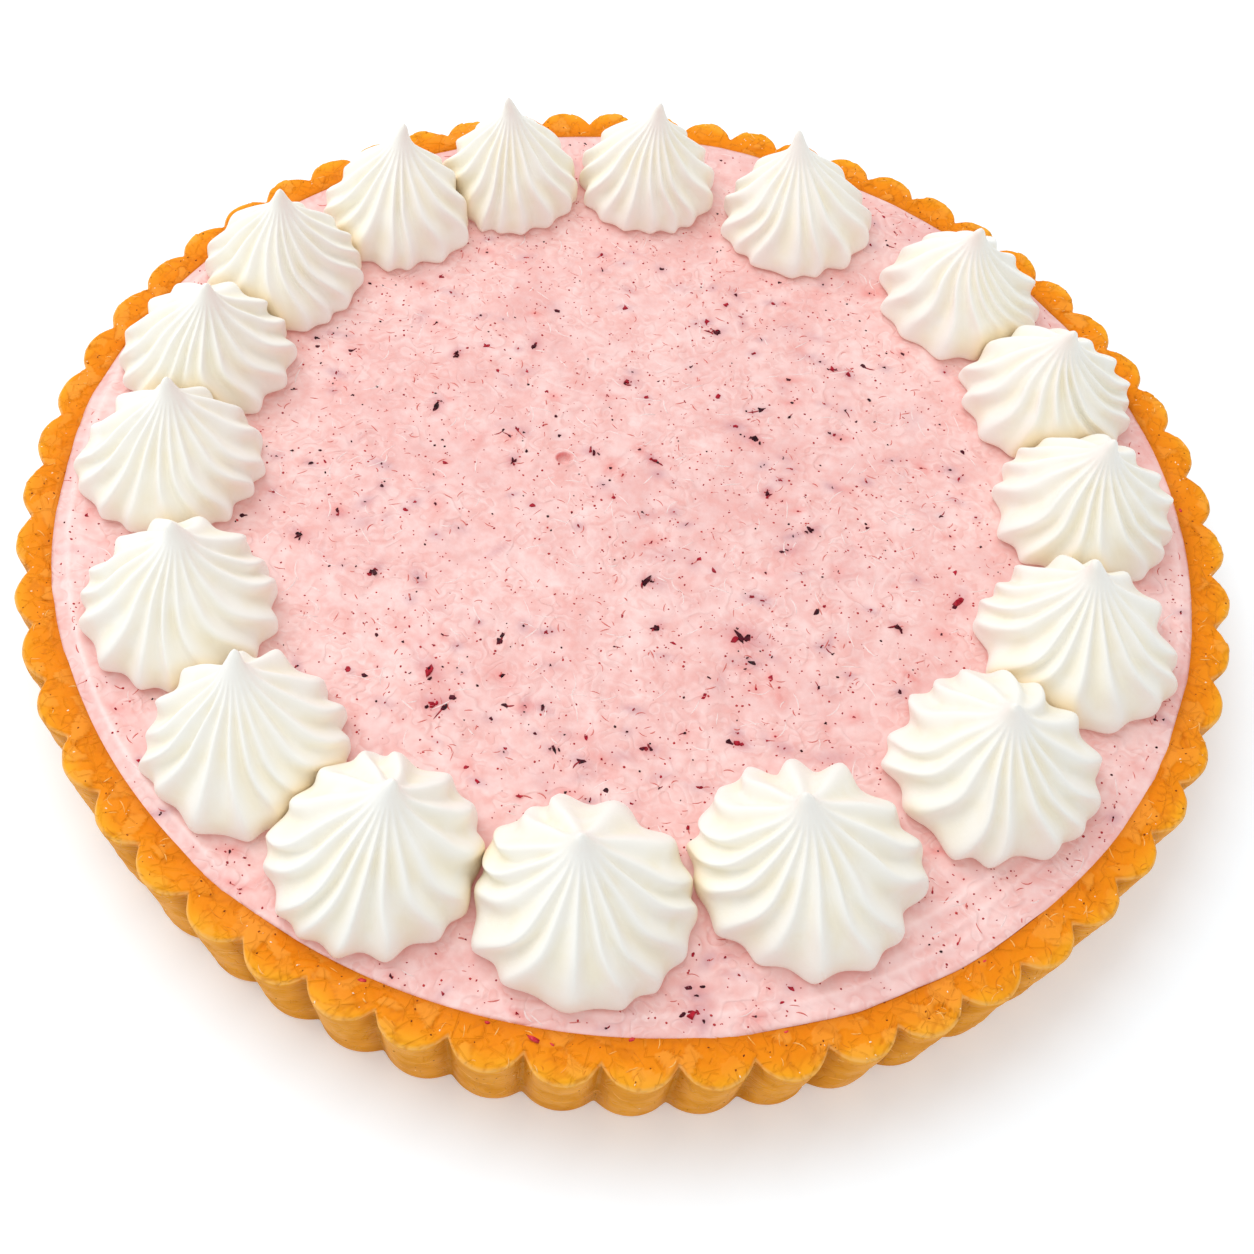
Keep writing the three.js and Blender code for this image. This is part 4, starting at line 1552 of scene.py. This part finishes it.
KISSES = [
    CreamKiss(1, 114, 109, 36.5, (-0.5, -1), -5),
    CreamKiss(2, 95, 107.5, 37, (2, -3), 5),
    CreamKiss(3, 72.5, 105, 40, (-4, 0.5), -8),
    CreamKiss(4, 46.5, 108.5, 41.5, (-1.5, -4.5), 6),
    CreamKiss(5, 27, 107.5, 43, (-1.5, -6), 8),
    CreamKiss(6, 7.5, 104.5, 43.5, (-2, -3.5), 4),
    CreamKiss(7, -14.5, 103.5, 45, (-3, 2.5), -6),
    CreamKiss(8, -36, 101, 46.5, (-2.5, -3.5), -10),
    CreamKiss(9, -63.5, 99, 47.5, (-5, -1), -8),
    CreamKiss(10, -89.5, 103.5, 45.5, (-2, 0), -8),
    CreamKiss(11, -112, 107, 44.5, (3.5, 1), -4),
    CreamKiss(12, -131.5, 106, 42, (-1.5, 4), 6),
    CreamKiss(13, -152.5, 104, 43, (2, 1.5), 8),
    CreamKiss(14, -175, 105, 41.5, (3, 0), 6),
    CreamKiss(15, 167, 108.5, 42.5, (5, -5), 10),
    CreamKiss(16, 149.5, 109.5, 39.5, (2, -1.5), 6),
    CreamKiss(17, 131, 108, 38.5, (2, 1.5), -6),
]


# ------------------------------------------------------------------ camera and light


@dataclass
class Studio:
    """The white ground, the soft light and the camera."""

    elevation: float = math.radians(54.5)
    roll: float = math.radians(7.905)
    aim: Vector = field(default_factory=lambda: Vector((2.1, -35.3, 25)) * MM)
    distance: float = 370.7 * MM
    lens: float = 48.8
    sky: float = 0.665
    key_power: float = 6.4
    key_place: Vector = field(default_factory=lambda: Vector((-0.42, 0.26, 0.95)))
    fill_power: float = 0.55
    fill_place: Vector = field(default_factory=lambda: Vector((0.35, -0.8, 0.75)))
    lamp_size: float = 0.9
    ground: Finish = field(default_factory=lambda: GroundFinish("white ground", 0.9, 0.2))

    def camera(self) -> None:
        """Looks down on the tart from the front, a little rolled."""
        back = Vector((0, -math.cos(self.elevation), math.sin(self.elevation)))
        right = Vector((1, 0, 0))
        up = back.cross(right)
        across = math.cos(self.roll) * right + math.sin(self.roll) * up
        above = math.cos(self.roll) * up - math.sin(self.roll) * right
        lens = bpy.data.cameras.new("camera")
        lens.lens = self.lens
        lens.sensor_width = 36
        lens.clip_start = 0.01
        camera = bpy.data.objects.new("camera", lens)
        bpy.context.scene.collection.objects.link(camera)
        turn = Matrix((across, above, back)).transposed().to_4x4()
        camera.matrix_world = Matrix.Translation(self.aim + back * self.distance) @ turn
        bpy.context.scene.camera = camera

    def light(self) -> None:
        """Even light from all round, a soft lamp from the left and the back, and a weak one in front."""
        world = bpy.data.worlds.new("sky")
        world.use_nodes = True
        sky = world.node_tree.nodes["Background"]
        sky.inputs["Color"].default_value = (1, 1, 1, 1)
        sky.inputs["Strength"].default_value = self.sky
        bpy.context.scene.world = world
        self.lamp("key", self.key_power, self.key_place)
        self.lamp("fill", self.fill_power, self.fill_place)
        bpy.context.scene.view_settings.view_transform = "Standard"

    def lamp(self, name: str, power: float, place: Vector) -> None:
        """One large soft lamp, aimed at the tart."""
        light = bpy.data.lights.new(name, "AREA")
        light.energy = power
        light.size = self.lamp_size
        lamp = bpy.data.objects.new(name, light)
        bpy.context.scene.collection.objects.link(lamp)
        lamp.location = place
        lamp.rotation_euler = (-place).to_track_quat("-Z", "Y").to_euler()

    def floor(self) -> None:
        """A wide plain ground."""
        form = bmesh.new()
        bmesh.ops.create_grid(form, x_segments=1, y_segments=1, size=3.0)
        mesh = bpy.data.meshes.new("ground")
        form.to_mesh(mesh)
        form.free()
        mesh.materials.append(self.ground.material())
        ground = bpy.data.objects.new("ground", mesh)
        bpy.context.scene.collection.objects.link(ground)
        ground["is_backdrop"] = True


def main() -> None:
    """Builds the tart from the crust up, and the studio round it."""
    logging.basicConfig(level=logging.INFO, format="%(message)s")
    studio = Studio()
    studio.camera()
    studio.light()
    studio.floor()
    rim_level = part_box("cream_kiss_01")[0].z
    CrustShell(height=rim_level).build()
    StrawberryFilling(level=rim_level - 0.3 * MM, foot=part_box("filling")[0].z).build()
    for kiss, following in zip(KISSES, KISSES[1:] + KISSES[:1]):
        kiss.press_on(following)
        following.press_on(kiss)
    for kiss in KISSES:
        kiss.build()
    boxes = [[list(corner) for corner in box] for box in (CAD_BOX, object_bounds())]


if __name__ == "__main__":
    main()
